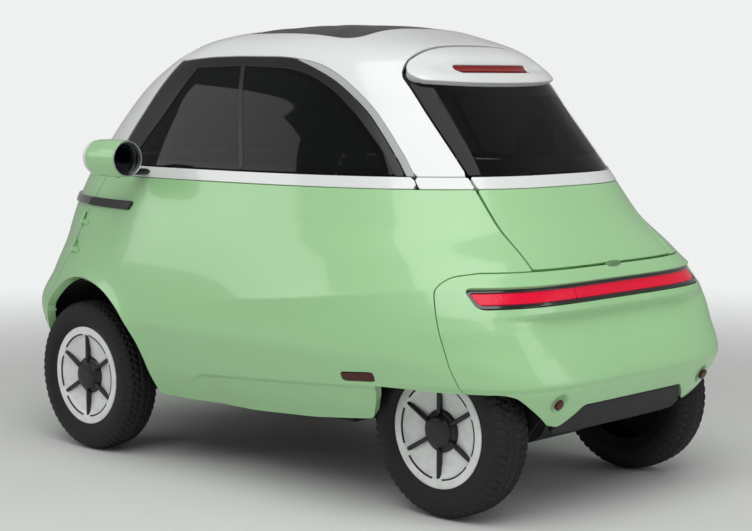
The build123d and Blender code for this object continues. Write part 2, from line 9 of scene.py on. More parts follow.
import bmesh
import bpy
import numpy as np
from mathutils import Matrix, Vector


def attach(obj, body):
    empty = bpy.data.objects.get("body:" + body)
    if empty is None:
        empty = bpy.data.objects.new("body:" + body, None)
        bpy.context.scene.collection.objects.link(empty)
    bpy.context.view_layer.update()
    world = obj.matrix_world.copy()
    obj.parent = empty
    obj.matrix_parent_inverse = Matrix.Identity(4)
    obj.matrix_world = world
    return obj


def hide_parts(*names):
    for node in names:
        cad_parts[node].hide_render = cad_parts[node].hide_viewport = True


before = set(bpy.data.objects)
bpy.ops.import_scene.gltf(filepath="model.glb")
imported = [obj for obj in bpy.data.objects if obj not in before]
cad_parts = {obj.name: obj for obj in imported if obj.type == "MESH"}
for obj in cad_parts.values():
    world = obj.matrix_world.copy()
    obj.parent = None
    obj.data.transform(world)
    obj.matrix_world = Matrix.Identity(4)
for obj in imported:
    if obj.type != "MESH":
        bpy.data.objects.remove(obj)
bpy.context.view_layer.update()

MM = 0.001
log = logging.getLogger("microcar")

Array = np.ndarray
Block = tuple[Array, Array]
Colour = tuple[float, float, float, float]
Surface = Callable[[Array, Array], Array]


class Body(Enum):
    """The moving bodies that pieces ride on."""

    SHELL = "body"
    DOOR = "door"
    HATCH = "hatch"
    STEERING = "steering_wheel"
    FRONT_LEFT = "wheel_front_left"
    FRONT_RIGHT = "wheel_front_right"
    REAR_LEFT = "wheel_rear_left"
    REAR_RIGHT = "wheel_rear_right"


# ---------------------------------------------------------------- shader maths
class Signal:
    """A shader socket that takes part in sums, so that `1 - mask * 0.2` adds its Math nodes."""

    def __init__(self, net: "Net", socket: bpy.types.NodeSocket) -> None:
        """Wraps one output socket of a net."""
        self.net = net
        self.socket = socket

    def maths(self, operation: str, *others: object) -> "Signal":
        """Adds one Math node.

        Args:
            operation: Blender's name for the operation.
            others: the second and third operands, signals or numbers.

        Returns:
            The node's result.
        """
        return self.net.node("ShaderNodeMath", {"operation": operation}, dict(enumerate([self, *others])))

    def __add__(self, other: object) -> "Signal":
        """Sum."""
        return self.maths("ADD", other)

    __radd__ = __add__

    def __mul__(self, other: object) -> "Signal":
        """Product."""
        return self.maths("MULTIPLY", other)

    __rmul__ = __mul__

    def __sub__(self, other: object) -> "Signal":
        """Difference."""
        return self.maths("SUBTRACT", other)

    def __rsub__(self, other: float) -> "Signal":
        """Difference from a number."""
        return self.net.node("ShaderNodeMath", {"operation": "SUBTRACT"}, {0: other, 1: self})

    def ramp(self, low: float, high: float) -> "Signal":
        """Rises smoothly from nought at low to one at high."""
        return self.net.node("ShaderNodeMapRange", {"interpolation_type": "SMOOTHSTEP"},
                             {"Value": self, "From Min": low, "From Max": high}, "Result")


class Net:
    """The node tree of one material or world."""

    def __init__(self, owner: bpy.types.Material | bpy.types.World) -> None:
        """Empties the owner's tree."""
        owner.use_nodes = True
        self.owner = owner
        self.tree = owner.node_tree
        self.tree.nodes.clear()

    def node(self, kind: str, settings: dict, inputs: dict, out: str | int = 0) -> Signal:
        """Adds any node.

        Args:
            kind: the node's Blender type.
            settings: its properties, set first.
            inputs: numbers, colours or signals by socket name or index.
            out: the output that is wanted.

        Returns:
            That output as a signal.
        """
        made = self.tree.nodes.new(kind)
        for key, value in settings.items():
            setattr(made, key, value)
        for key, value in inputs.items():
            if isinstance(value, Signal):
                self.tree.links.new(value.socket, made.inputs[key])
            else:
                made.inputs[key].default_value = value
        return Signal(self, made.outputs[out])

    def place(self) -> Signal:
        """The point on the piece, in metres."""
        return self.node("ShaderNodeTexCoord", {}, {}, "Object")

    def axes(self) -> tuple[Signal, Signal, Signal]:
        """The point's three coordinates."""
        split = self.node("ShaderNodeSeparateXYZ", {}, {0: self.place()})
        outputs = split.socket.node.outputs
        return tuple(Signal(self, outputs[k]) for k in range(3))

    def attribute(self, name: str) -> Signal:
        """A number stored on the piece's own points."""
        return self.node("ShaderNodeAttribute", {"attribute_name": name}, {}, "Fac")

    def noise(self, scale: float, detail: float = 2.0, rough: float = 0.5) -> Signal:
        """Cloudy noise of that many cells to the metre."""
        return self.node("ShaderNodeTexNoise", {}, {"Vector": self.place(), "Scale": scale, "Detail": detail,
                                                    "Roughness": rough}, "Fac")

    def cells(self, scale: float) -> Signal:
        """Distance to the nearest of scattered points."""
        return self.node("ShaderNodeTexVoronoi", {}, {"Vector": self.place(), "Scale": scale}, "Distance")

    def blend(self, share: Signal | float, first: object, second: object) -> Signal:
        """Mixes two colours."""
        return self.node("ShaderNodeMix", {"data_type": "RGBA"}, {0: share, 6: first, 7: second}, 2)

    def bump(self, height: Signal, metres: float, strength: float = 1.0) -> Signal:
        """A normal that follows a height signal."""
        sockets = {"Height": height, "Distance": metres, "Strength": strength}
        return self.node("ShaderNodeBump", {}, sockets, "Normal")

    def finish(self, shader: Signal, kind: str = "ShaderNodeOutputMaterial") -> bpy.types.ID:
        """Joins the shader to an output node of that kind and hands the owner over."""
        out = self.tree.nodes.new(kind)
        self.tree.links.new(shader.socket, out.inputs["Surface"])
        return self.owner


def tint(hex_code: str) -> Colour:
    """A linear colour from its display code.

    Args:
        hex_code: six hexadecimal digits.

    Returns:
        Red, green, blue and alpha, linear.
    """
    parts = np.array([int(hex_code[k:k + 2], 16) for k in (0, 2, 4)]) / 255
    linear = np.where(parts <= 0.04045, parts / 12.92, ((parts + 0.055) / 1.055) ** 2.4)
    return (*map(float, linear), 1.0)


def shade(colour: Colour, share: float) -> Colour:
    """The same colour, lighter or darker by a share."""
    return (*(min(1.0, part * share) for part in colour[:3]), 1.0)


# ---------------------------------------------------------------- finishes
@dataclass(frozen=True)
class Coating:
    """A surface with a name and a main colour; each kind adds its own sockets."""

    name: str
    colour: str

    def inputs(self, net: Net, base: Colour) -> dict:
        """What goes into the surface shader.

        Args:
            net: the material's nodes.
            base: the main colour, linear.

        Returns:
            Numbers, colours or signals by socket name.
        """
        raise NotImplementedError

    def material(self) -> bpy.types.Material:
        """Builds the material."""
        net = Net(bpy.data.materials.new(self.name))
        return net.finish(net.node("ShaderNodeBsdfPrincipled", {}, self.inputs(net, tint(self.colour))))


@dataclass(frozen=True)
class Paint(Coating):
    """Gloss paint: base coat with faint cloudiness, orange peel, clear coat, dust low on the body."""

    roughness: float = 0.34
    dust: float = 0.05

    def inputs(self, net: Net, base: Colour) -> dict:
        """The paint's sockets."""
        cloud = net.noise(3.5, 3.0)
        _, _, height = net.axes()
        low = 1 - height.ramp(0.24, 0.62)
        soiled = net.noise(26.0, 4.0).ramp(0.35, 0.75) * low * self.dust
        colour = net.blend(cloud, shade(base, 0.975), shade(base, 1.02))
        colour = net.blend(soiled, colour, tint("8f8a78"))
        peel = net.noise(520.0, 1.0)
        return {
            "Base Color": colour, "Roughness": soiled * 1.5 + self.roughness + (cloud - 0.5) * 0.03,
            "Coat Weight": 0.7, "Coat Roughness": 0.08, "Coat IOR": 1.5,
            "Normal": net.bump(peel, 0.00006, 0.5)}


@dataclass(frozen=True)
class Plastic(Coating):
    """Moulded plastic: fine grain, slight wear to a lighter tone in cloudy patches."""

    roughness: float = 0.5
    grain: float = 900.0
    depth: float = 0.00012
    coat: float = 0.0

    def inputs(self, net: Net, base: Colour) -> dict:
        """The plastic's sockets."""
        grain = net.cells(self.grain)
        cloud = net.noise(18.0, 4.0)
        colour = net.blend(cloud.ramp(0.3, 0.8), base, shade(base, 1.35))
        return {
            "Base Color": colour, "Roughness": (cloud - 0.5) * 0.16 + self.roughness,
            "Coat Weight": self.coat, "Coat Roughness": 0.08,
            "Normal": net.bump(grain, self.depth, 0.6)}


@dataclass(frozen=True)
class Rubber(Coating):
    """Tyre rubber: near black, dusty grey in cloudy patches, finely mottled."""

    def inputs(self, net: Net, base: Colour) -> dict:
        """The rubber's sockets."""
        mottled = net.noise(60.0, 5.0, 0.6)
        fine = net.noise(700.0, 3.0)
        colour = net.blend(mottled.ramp(0.35, 0.8), base, shade(base, 1.8))
        return {
            "Base Color": colour, "Roughness": mottled * 0.2 + 0.58,
            "Normal": net.bump(fine + mottled * 0.5, 0.0003, 0.6)}


@dataclass(frozen=True)
class Metal(Coating):
    """Bare or coated metal with brushed or cast roughness."""

    roughness: float = 0.4
    metallic: float = 1.0
    grain: float = 260.0

    def inputs(self, net: Net, base: Colour) -> dict:
        """The metal's sockets."""
        grain = net.noise(self.grain, 4.0, 0.6)
        stain = net.noise(14.0, 5.0).ramp(0.45, 0.8)
        colour = net.blend(stain, base, shade(base, 0.6))
        return {
            "Base Color": colour, "Metallic": self.metallic,
            "Roughness": stain * 0.2 + grain * 0.12 + self.roughness,
            "Normal": net.bump(grain, 0.0003, 0.5)}


@dataclass(frozen=True)
class Glass(Coating):
    """Tinted pane whose border is printed black; the pane's own edge attribute says how far the border is."""

    border: float = 0.018
    body: float = 0.82

    def inputs(self, net: Net, base: Colour) -> dict:
        """The glass's sockets."""
        printed = 1 - net.attribute("edge").ramp(self.border, self.border + 0.003)
        smear = net.noise(9.0, 3.0)
        colour = net.blend(printed, base, tint("060707"))
        return {
            "Base Color": colour, "Roughness": smear * 0.03 + 0.02,
            "Alpha": printed * (1 - self.body) + self.body,
            "Specular IOR Level": 0.2, "Coat Weight": 0.04, "Coat Roughness": 0.02}


@dataclass(frozen=True)
class Lens(Coating):
    """Moulded lamp lens, lit or unlit, with fine vertical optics."""

    glow: float = 0.0
    ribs: float = 120.0

    def inputs(self, net: Net, base: Colour) -> dict:
        """The lens's sockets."""
        _, across, _ = net.axes()
        rib = (across * (self.ribs * 2 * math.pi)).maths("SINE")
        colour = net.blend(rib * 0.12 + 0.12, base, shade(base, 0.5))
        return {
            "Base Color": colour, "Roughness": rib * 0.02 + 0.14, "Specular IOR Level": 0.25,
            "Coat Weight": 0.15, "Coat Roughness": 0.03,
            "Emission Color": colour, "Emission Strength": self.glow,
            "Normal": net.bump(rib, 0.0004, 0.4)}


@dataclass(frozen=True)
class Cloth(Coating):
    """Woven seat cloth: two crossing threads, a soft nap and slight fading."""

    second: str
    pitch: float = 0.0035

    def inputs(self, net: Net, base: Colour) -> dict:
        """The cloth's sockets."""
        x, y, z = net.axes()
        turn = 2 * math.pi / self.pitch
        warp = (y * turn).maths("SINE")
        weft = ((x + z) * turn).maths("SINE")
        weave = warp * weft
        fade = net.noise(7.0, 4.0)
        colour = net.blend(weave * 0.3 + 0.5, base, tint(self.second))
        colour = net.blend(fade * 0.4, colour, shade(base, 0.6))
        fuzz = net.noise(1400.0, 2.0)
        return {
            "Base Color": colour, "Roughness": fade * 0.1 + 0.82, "Sheen Weight": 0.3, "Sheen Roughness": 0.5,
            "Normal": net.bump(weave + fuzz, 0.0004, 0.7)}


class Finish(Enum):
    """Every finish on the car."""

    BODY = Paint("body_paint_pistachio", "a9dca0", 0.38)
    ROOF = Paint("roof_paint_white", "eef1ef", 0.3, 0.0)
    # Painted shade: the window reveal is the white roof's return face, painted grey for the shade on it.
    SHADED_REVEAL = Paint("window_reveal_painted_shade", "b9bdbb", 0.4, 0.0)
    # Painted shade: the hatch pull is body green painted darker for the shade under the hatch's edge.
    SHADED_PULL = Paint("hatch_pull_painted_shade", "5f8a5c", 0.4, 0.0)
    COVER = Paint("wheel_cover_white", "f2f4f3", 0.42, 0.2)
    SATIN = Plastic("satin_black_trim", "0f1011", 0.42, 1100.0, 0.00006, 0.12)
    GLOSS = Plastic("gloss_black_trim", "0b0c0d", 0.16, 900.0, 0.00002, 0.9)
    GRAINED = Plastic("grained_black_plastic", "1c1d1e", 0.62, 620.0, 0.0002)
    LINING = Plastic("cabin_lining_grey", "3a3d3e", 0.72, 420.0, 0.0002)
    LINER = Plastic("wheel_arch_felt", "131313", 0.92, 260.0, 0.0006)
    TYRE = Rubber("tyre_rubber", "0f0f10")
    GLASS = Glass("tinted_glass", "0e1211", 0.018, 0.84)
    REAR_GLASS = Glass("rear_glass_tint", "0c100e", 0.045, 0.66)
    CLEAR = Glass("windshield_glass", "121614", 0.03, 0.8)
    MIRROR = Metal("mirror_glass", "20242a", 0.06, 1.0, 40.0)
    TAIL = Lens("tail_lens_red", "e00a34", 0.3)
    RED = Lens("small_lens_red", "4e130e", 0.0, 220.0)
    BRAKE = Lens("brake_lens_red", "8c1c18", 0.05, 160.0)
    CLEAR_LENS = Lens("headlamp_lens", "e9eef0", 0.12, 90.0)
    STEEL = Metal("bright_steel", "b9bcbe", 0.32)
    CAST = Metal("cast_grey_metal", "4a4c4d", 0.55, 0.8, 180.0)
    DARK_METAL = Metal("coated_black_metal", "17181a", 0.5, 0.5, 220.0)
    SEAT = Cloth("seat_cloth_charcoal", "26292b", "3b3f40")
    CANVAS = Cloth("roof_canvas_black", "141516", "1f2022", 0.0018)
    BELT = Cloth("belt_webbing", "17181a", "26282a", 0.002)

    def material(self) -> bpy.types.Material:
        """The finish's material, built once."""
        return bpy.data.materials.get(self.value.name) or self.value.material()


# ---------------------------------------------------------------- meshes
def put_on(piece: bpy.types.Object, body: Body, nodes: Sequence[str] = ()) -> None:
    """Fits a piece to the car.

    Args:
        piece: the finished object.
        body: what it moves with.
        nodes: the CAD nodes that it stands for.
    """
    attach(piece, body.value)
    if nodes:
        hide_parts(*nodes)
    log.info("%s on %s, %d faces", piece.name, body.value, len(piece.data.polygons))


def as_object(name: str, points: Array, faces: Sequence[Array], finishes: Sequence[Finish],
              which: Sequence[int] = (), normals: Array | None = None) -> bpy.types.Object:
    """Makes a mesh object.

    Args:
        name: the piece's name.
        points: its points, one a row, in metres.
        faces: arrays of point numbers; the faces of one array all have its width.
        finishes: the finishes of its material slots.
        which: for each array of faces, its slot.
        normals: a normal for each corner of each face, in order, or None.

    Returns:
        The object.
    """
    mesh = bpy.data.meshes.new(name)
    listed = [row for block in faces for row in block.tolist()]
    mesh.from_pydata(np.asarray(points, float).reshape(-1, 3), [], listed)
    for finish in finishes:
        mesh.materials.append(finish.material())
    slots = np.repeat(which or [0] * len(faces), [len(block) for block in faces])
    mesh.polygons.foreach_set("material_index", slots.astype(np.int32))
    mesh.polygons.foreach_set("use_smooth", np.ones(len(slots), bool))
    mesh.update()
    if normals is not None:
        mesh.normals_split_custom_set(np.asarray(normals, float).reshape(-1, 3).tolist())
    made = bpy.data.objects.new(name, mesh)
    bpy.context.scene.collection.objects.link(made)
    return made


def weld(piece: bpy.types.Object, angle: float = 40.0, gap: float = 1e-5) -> bpy.types.Object:
    """Merges doubled points, turns the faces outwards and marks edges sharper than an angle."""
    cage = bmesh.new()
    cage.from_mesh(piece.data)
    bmesh.ops.remove_doubles(cage, verts=cage.verts, dist=gap)
    bmesh.ops.dissolve_degenerate(cage, dist=1e-7, edges=cage.edges)
    bmesh.ops.recalc_face_normals(cage, faces=cage.faces)
    cage.to_mesh(piece.data)
    cage.free()
    piece.data.set_sharp_from_angle(angle=math.radians(angle))
    return piece


def grid_faces(rows: int, columns: int, wrap_rows: bool = False, wrap_columns: bool = False) -> Array:
    """Four-sided faces between the neighbours of a grid.

    Args:
        rows: points along the first parameter.
        columns: points along the second.
        wrap_rows: the last row meets the first.
        wrap_columns: the last column meets the first.

    Returns:
        Point numbers, four to a face.
    """
    numbers = np.arange(rows * columns).reshape(rows, columns)
    if wrap_rows:
        numbers = np.vstack([numbers, numbers[:1]])
    if wrap_columns:
        numbers = np.hstack([numbers, numbers[:, :1]])
    return cell_corners(numbers)


def cell_corners(numbers: Array) -> Array:
    """The four corners of each cell of a grid, in order round it."""
    corners = [numbers[:-1, :-1], numbers[1:, :-1], numbers[1:, 1:], numbers[:-1, 1:]]
    return np.stack(corners, -1).reshape(-1, 4)


def joined(blocks: Sequence[Block]) -> Block:
    """Several blocks of points and faces as one.

    Args:
        blocks: pairs of points and four-sided faces.

    Returns:
        All points, and all faces renumbered.
    """
    starts = np.cumsum([0] + [len(points.reshape(-1, 3)) for points, _ in blocks])
    points = np.concatenate([points.reshape(-1, 3) for points, _ in blocks])
    faces = np.concatenate([faces + start for (_, faces), start in zip(blocks, starts)])
    return points, faces


def once_round(count: int) -> Array:
    """Even angles once round, in radians."""
    return np.linspace(0, 2 * np.pi, count, endpoint=False)


def lathe(profile: Array, turns: int = 96) -> Block:
    """A closed profile carried round the Y axis.

    Formula: the profile's point (y, r) at angle a is (r cos a, y, r sin a).

    Args:
        profile: rows of y and radius.
        turns: steps round the axis.

    Returns:
        Points and faces.
    """
    angles = once_round(turns)[:, None]
    points = np.stack([profile[:, 1] * np.cos(angles), np.broadcast_to(profile[:, 0], (turns, len(profile))),
                       profile[:, 1] * np.sin(angles)], -1)
    return points, grid_faces(turns, len(profile), wrap_rows=True, wrap_columns=True)


def pillow_box(low: Sequence[float], high: Sequence[float], radius: float, steps: int = 4) -> Block:
    """A box with round edges and corners.

    Formula: a point of a ball of that radius, moved to the corner of the smaller inner box on its side.
    The ball's grid has the directions at each change of side twice, so the flats lie between them.

    Args:
        low: the lowest corner.
        high: the highest corner.
        radius: of the edges.
        steps: faces round each quarter.

    Returns:
        Points and faces.
    """
    quarter = np.linspace(0, np.pi / 2, steps + 1)
    round_turn = np.concatenate([quarter + k * np.pi / 2 for k in range(4)])[:, None]
    rise = np.concatenate([quarter - np.pi / 2, quarter])[None, :]
    side_x = np.repeat([1, -1, -1, 1], steps + 1)[:, None]
    side_y = np.repeat([1, 1, -1, -1], steps + 1)[:, None]
    side_z = np.repeat([-1, 1], steps + 1)[None, :]
    middle, half = (np.array(high) + np.array(low)) / 2, (np.array(high) - np.array(low)) / 2 - radius
    points = np.stack([side_x * half[0] + radius * np.cos(round_turn) * np.cos(rise),
                       side_y * half[1] + radius * np.sin(round_turn) * np.cos(rise),
                       (side_z * half[2] + radius * np.sin(rise)) * np.ones_like(side_x)], -1) + middle
    rows, columns = points.shape[:2]
    faces = grid_faces(rows, columns, wrap_rows=True)
    caps = []
    for column, order in ((0, 1), (columns - 1, -1)):
        corner = np.arange(4) * (steps + 1) * columns + column
        caps.append(corner[::-order])
    return points.reshape(-1, 3), np.concatenate([faces, np.array(caps)])


def tube(path: Array, radius: float | Array, sides: int = 12, closed: bool = False) -> Block:
    """A round profile carried along a path.

    Formula: at each point two directions square to the path span the circle; the first is the part of a
    fixed guide that is square to the path, the second their cross product.  The ends shrink to a point.

    Args:
        path: its points.
        radius: one number, or one for each point.
        sides: of the circle.
        closed: the path is a loop.

    Returns:
        Points and faces.
    """
    path = np.asarray(path, float)
    if not closed:
        path = np.vstack([path[:1], path, path[-1:]])
        radius = np.concatenate([[1e-6], np.broadcast_to(radius, len(path) - 2), [1e-6]])
    ahead = np.roll(path, -1, 0) - np.roll(path, 1, 0) if closed else np.gradient(path, axis=0)
    ahead /= np.linalg.norm(ahead, axis=1, keepdims=True) + 1e-12
    spread = np.abs(ahead).max(0)
    guide = np.eye(3)[int(np.argmin(spread))]
    first = guide - (ahead @ guide)[:, None] * ahead
    first /= np.linalg.norm(first, axis=1, keepdims=True)
    second = np.cross(ahead, first)
    angle = once_round(sides)
    size = np.broadcast_to(radius, len(path))[:, None, None]
    ring = np.cos(angle)[None, :, None] * first[:, None] + np.sin(angle)[None, :, None] * second[:, None]
    points = path[:, None] + size * ring
    return points.reshape(-1, 3), grid_faces(len(path), sides, wrap_rows=closed, wrap_columns=True)


def mirrored(block: Block) -> Block:
    """The same block on the other side of the car, its faces turned to match."""
    points, faces = block
    return points * np.array([1.0, -1.0, 1.0]), faces[:, ::-1]


def both_sides(block: Block) -> Block:
    """The block with its mirror image."""
    return joined([block, mirrored(block)])


def solid(name: str, block: Block, finish: Finish, angle: float = 40.0) -> bpy.types.Object:
    """A welded piece of one finish, smooth up to an angle in degrees."""
    return weld(as_object(name, block[0], [block[1]], (finish,)), angle)


# ---------------------------------------------------------------- regions
@dataclass(frozen=True)
class Region:
    """Part of space, as a function that gives each point's distance inside the border, in metres."""

    depth: Callable[[Array], Array]

    def __and__(self, other: "Region") -> "Region":
        """Inside both."""
        return Region(lambda p: np.minimum(self.depth(p), other.depth(p)))

    def __neg__(self) -> "Region":
        """Outside."""
        return Region(lambda p: -self.depth(p))

    def __sub__(self, other: "Region") -> "Region":
        """Inside the first and outside the second."""
        return self & -other

    def moved(self, distance: float) -> "Region":
        """The border moved inwards by a distance."""
        return Region(lambda p: self.depth(p) - distance)

    def meet(self, other: "Region", radius: float) -> "Region":
        """Inside both, with the corner between the borders rounded.

        Formula: where both depths are under the radius, the depth is the radius less the length of what
        each lacks of it.
        """
        def depth(p: Array) -> Array:
            """Depth inside the rounded pair."""
            a, b = self.depth(p), other.depth(p)
            short = np.hypot(np.maximum(radius - a, 0), np.maximum(radius - b, 0))
            return np.maximum(radius, np.minimum(a, b)) - short
        return Region(depth)


def half_space(origin: Sequence[float], normal: Sequence[float]) -> Region:
    """The side of a plane that its normal points to, in metres."""
    towards = np.array(normal, float) / np.linalg.norm(normal)
    start = np.array(origin, float)
    return Region(lambda p: (p - start) @ towards)


def above(height: float) -> Region:
    """Everything over a height, in millimetres."""
    return half_space((0, 0, height * MM), (0, 0, 1))


def below(height: float) -> Region:
    """Everything under a height, in millimetres."""
    return -above(height)


def within_y(half: float) -> Region:
    """Everything nearer the middle than a half width, in millimetres."""
    return Region(lambda p: half * MM - np.abs(p[..., 1]))


def soften(points: Sequence[Sequence[float]], radii: float | Sequence[float], steps: int = 7) -> Array:
    """An outline whose corners are rounded.

    Formula: each corner becomes a quadratic curve between the two points where a circle of that radius
    would touch its sides, with the corner as its control point.

    Args:
        points: the corners in order.
        radii: one radius, or one for each corner.
        steps: points in each round corner.

    Returns:
        The rounded outline's points.
    """
    corner = np.array(points, float)
    back, on = np.roll(corner, 1, 0) - corner, np.roll(corner, -1, 0) - corner
    back_len, on_len = np.linalg.norm(back, axis=1), np.linalg.norm(on, axis=1)
    back, on = back / back_len[:, None], on / on_len[:, None]
    half = np.arccos(np.clip((back * on).sum(1), -1, 1)) / 2
    reach = np.broadcast_to(radii, len(corner)) / np.tan(np.maximum(half, 1e-3))
    reach = np.minimum(reach, 0.48 * np.minimum(back_len, on_len))[:, None]
    t = np.linspace(0, 1, steps)[None, :, None]
    start, end = (corner + back * reach)[:, None], (corner + on * reach)[:, None]
    curve = (1 - t) ** 2 * start + 2 * t * (1 - t) * corner[:, None] + t ** 2 * end
    return curve.reshape(-1, 2)


def outline(points: Array, axes: tuple[int, int]) -> Region:
    """The inside of an outline, seen along the third axis.

    Formula: the distance to the nearest side, positive where a ray from the point crosses an odd number
    of sides.

    Args:
        points: the outline's corners in millimetres.
        axes: the two axes that they are given in.

    Returns:
        The region.
    """
    start = np.asarray(points, float) * MM
    side = np.roll(start, -1, 0) - start
    square = (side ** 2).sum(1)

    def depth(p: Array) -> Array:
        """Signed distance to the outline."""
        flat = p[..., list(axes)].reshape(-1, 2)
        out = np.empty(len(flat))
        for piece in np.array_split(np.arange(len(flat)), max(1, len(flat) // 20000)):
            away = flat[piece][:, None] - start
            share = np.clip((away * side).sum(2) / square, 0, 1)
            near = np.sqrt(((away - share[..., None] * side) ** 2).sum(2)).min(1)
            rising = (away[..., 1] >= 0) != (away[..., 1] - side[:, 1] >= 0)
            with np.errstate(divide="ignore", invalid="ignore"):
                crossing = side[:, 0] * away[..., 1] / side[:, 1] > away[..., 0]
            out[piece] = np.where((rising & crossing).sum(1) % 2 == 1, near, -near)
        return out.reshape(p.shape[:-1])
    return Region(depth)


# ---------------------------------------------------------------- the smooth skin
def flowing(knots: Array, values: Array, at: Array) -> Array:
    """Interpolates columns of values without overshoot.

    Formula: a cubic piece between neighbouring knots, whose slope at a knot is the weighted harmonic mean
    of the slopes on its two sides, or nought where they differ in sign.

    Args:
        knots: the rows' places.
        values: one row of values for each knot.
        at: the places wanted.

    Returns:
        A row of values for each place.
    """
    gap = np.diff(knots)[:, None]
    chord = np.diff(values, axis=0) / gap
    with np.errstate(divide="ignore", invalid="ignore"):
        first, last = 2 * gap[1:] + gap[:-1], gap[1:] + 2 * gap[:-1]
        mean = (first + last) / (first / chord[:-1] + last / chord[1:])
    slope = np.vstack([chord[:1], np.where(chord[:-1] * chord[1:] > 0, mean, 0), chord[-1:]])
    k = np.clip(np.searchsorted(knots, at) - 1, 0, len(gap) - 1)
    t = np.clip((at - knots[k]) / gap[k, 0], 0, 1)[:, None]
    return ((1 + 2 * t) * (1 - t) ** 2 * values[k] + t * (1 - t) ** 2 * gap[k] * slope[k]
            + t * t * (3 - 2 * t) * values[k + 1] + t * t * (t - 1) * gap[k] * slope[k + 1])


@dataclass(frozen=True)
class Skin:
    """The body's outer surface, from plan sections.

    A row gives a section's height, front, widest place, rear and half width in millimetres, and the roundness
    of its front and of its rear corners.
    """

    rows: tuple[tuple[float, ...], ...] = (
        (236, 1112, 200, -1157, 596, 3.0, 4.6), (340, 1220, 200, -1225, 662, 3.2, 5.1),
        (430, 1256, 200, -1255, 705, 3.2, 5.1), (520, 1259, 200, -1225, 736, 3.0, 4.9),
        (620, 1250, 200, -1185, 727, 2.55, 4.7), (764, 1215, 200, -1125, 700, 2.3, 3.6),
        (880, 1162, 200, -1035, 668, 2.35, 3.0), (990, 1090, 200, -962, 630, 2.4, 2.9),
        (1200, 870, 200, -780, 555, 2.55, 3.1), (1320, 700, 200, -672, 505, 2.65, 3.4),
        (1390, 565, 200, -620, 462, 2.65, 3.3), (1450, 410, 150, -470, 385, 2.6, 3.0),
        (1490, 170, -20, -300, 240, 2.5, 2.8), (1501, 0, -70, -140, 90, 2.3, 2.4),
        (1501.2, -69, -70, -71, 1, 2.0, 2.0))
    dome_from: float = 1390

    def knots(self) -> Array:
        """The rows' places: their height, and over the roof their distance along it."""
        table = np.array(self.rows)
        run = np.hypot(np.diff(table[:, 0]), np.diff(table[:, 4]))
        run = np.where(table[1:, 0] > self.dome_from, run, np.diff(table[:, 0]))
        return np.concatenate([[table[0, 0]], table[0, 0] + np.cumsum(run)])

    def at(self, turn: Array, place: Array) -> Array:
        """Points of the skin.

        Formula: a ray at the turn from the widest place meets the section where |along|^n + |across|^n = 1,
        with n the roundness of the front or of the rear corners.

        Args:
            turn: angle from straight ahead to the car's left, in radians.
            place: the height, in millimetres, or further along over the roof.

        Returns:
            Points in metres.
        """
        turn, place = np.broadcast_arrays(turn, place)
        row = flowing(self.knots(), np.array(self.rows), place.ravel()).T.reshape(7, *place.shape)
        height, front, wide, rear, half, front_n, rear_n = row
        c, s = np.cos(turn), np.sin(turn)
        power = np.where(c > 0, front_n, rear_n)
        size = (np.abs(c) ** power + np.abs(s) ** power) ** (-1 / power)
        reach = np.where(c > 0, front - wide, wide - rear)
        return np.stack([wide + reach * size * c, half * size * s, height], -1) * MM


def normals_of(surface: Surface, turn: Array, place: Array) -> Array:
    """Outward directions of a surface.

    Formula: the cross product of the differences across a small step of each parameter, made one long.
    """
    step_turn, step_place = 2e-4, 0.2
    across = surface(turn + step_turn, place) - surface(turn - step_turn, place)
    up = surface(turn, place + step_place) - surface(turn, place - step_place)
    out = np.cross(across, up)
    length = np.linalg.norm(out, axis=-1, keepdims=True)
    return np.where(length > 1e-14, out / np.maximum(length, 1e-14), np.array([0.0, 0.0, 1.0]))


def lifted(surface: Surface, lift: Callable[[Array], Array]) -> Surface:
    """A surface moved outwards, at each point, by what a function of the point gives in metres."""
    def shape(turn: Array, place: Array) -> Array:
        """Points of the moved surface."""
        base = surface(turn, place)
        return base + normals_of(surface, turn, place) * np.asarray(lift(base))[..., None]
    return shape


def raised(surface: Surface, height: float) -> Surface:
    """A surface moved outwards by so many millimetres, or inwards where they are under nought."""
    return lifted(surface, lambda p: np.full(p.shape[:-1], height * MM))


def cell_walk(code: int) -> list[tuple[int, bool]]:
    """The way round what is left of a cell: inside corners, the code's bits, and points on crossed sides."""
    inside = [code >> k & 1 for k in (0, 1, 2, 3, 0)]
    steps = [((k, False), inside[k]) for k in range(4)]
    crossed = [((k, True), inside[k] != inside[k + 1]) for k in range(4)]
    return [place for pair in zip(steps, crossed) for place, here in pair if here]


HALVINGS = 12
DOME_HALVINGS = 44


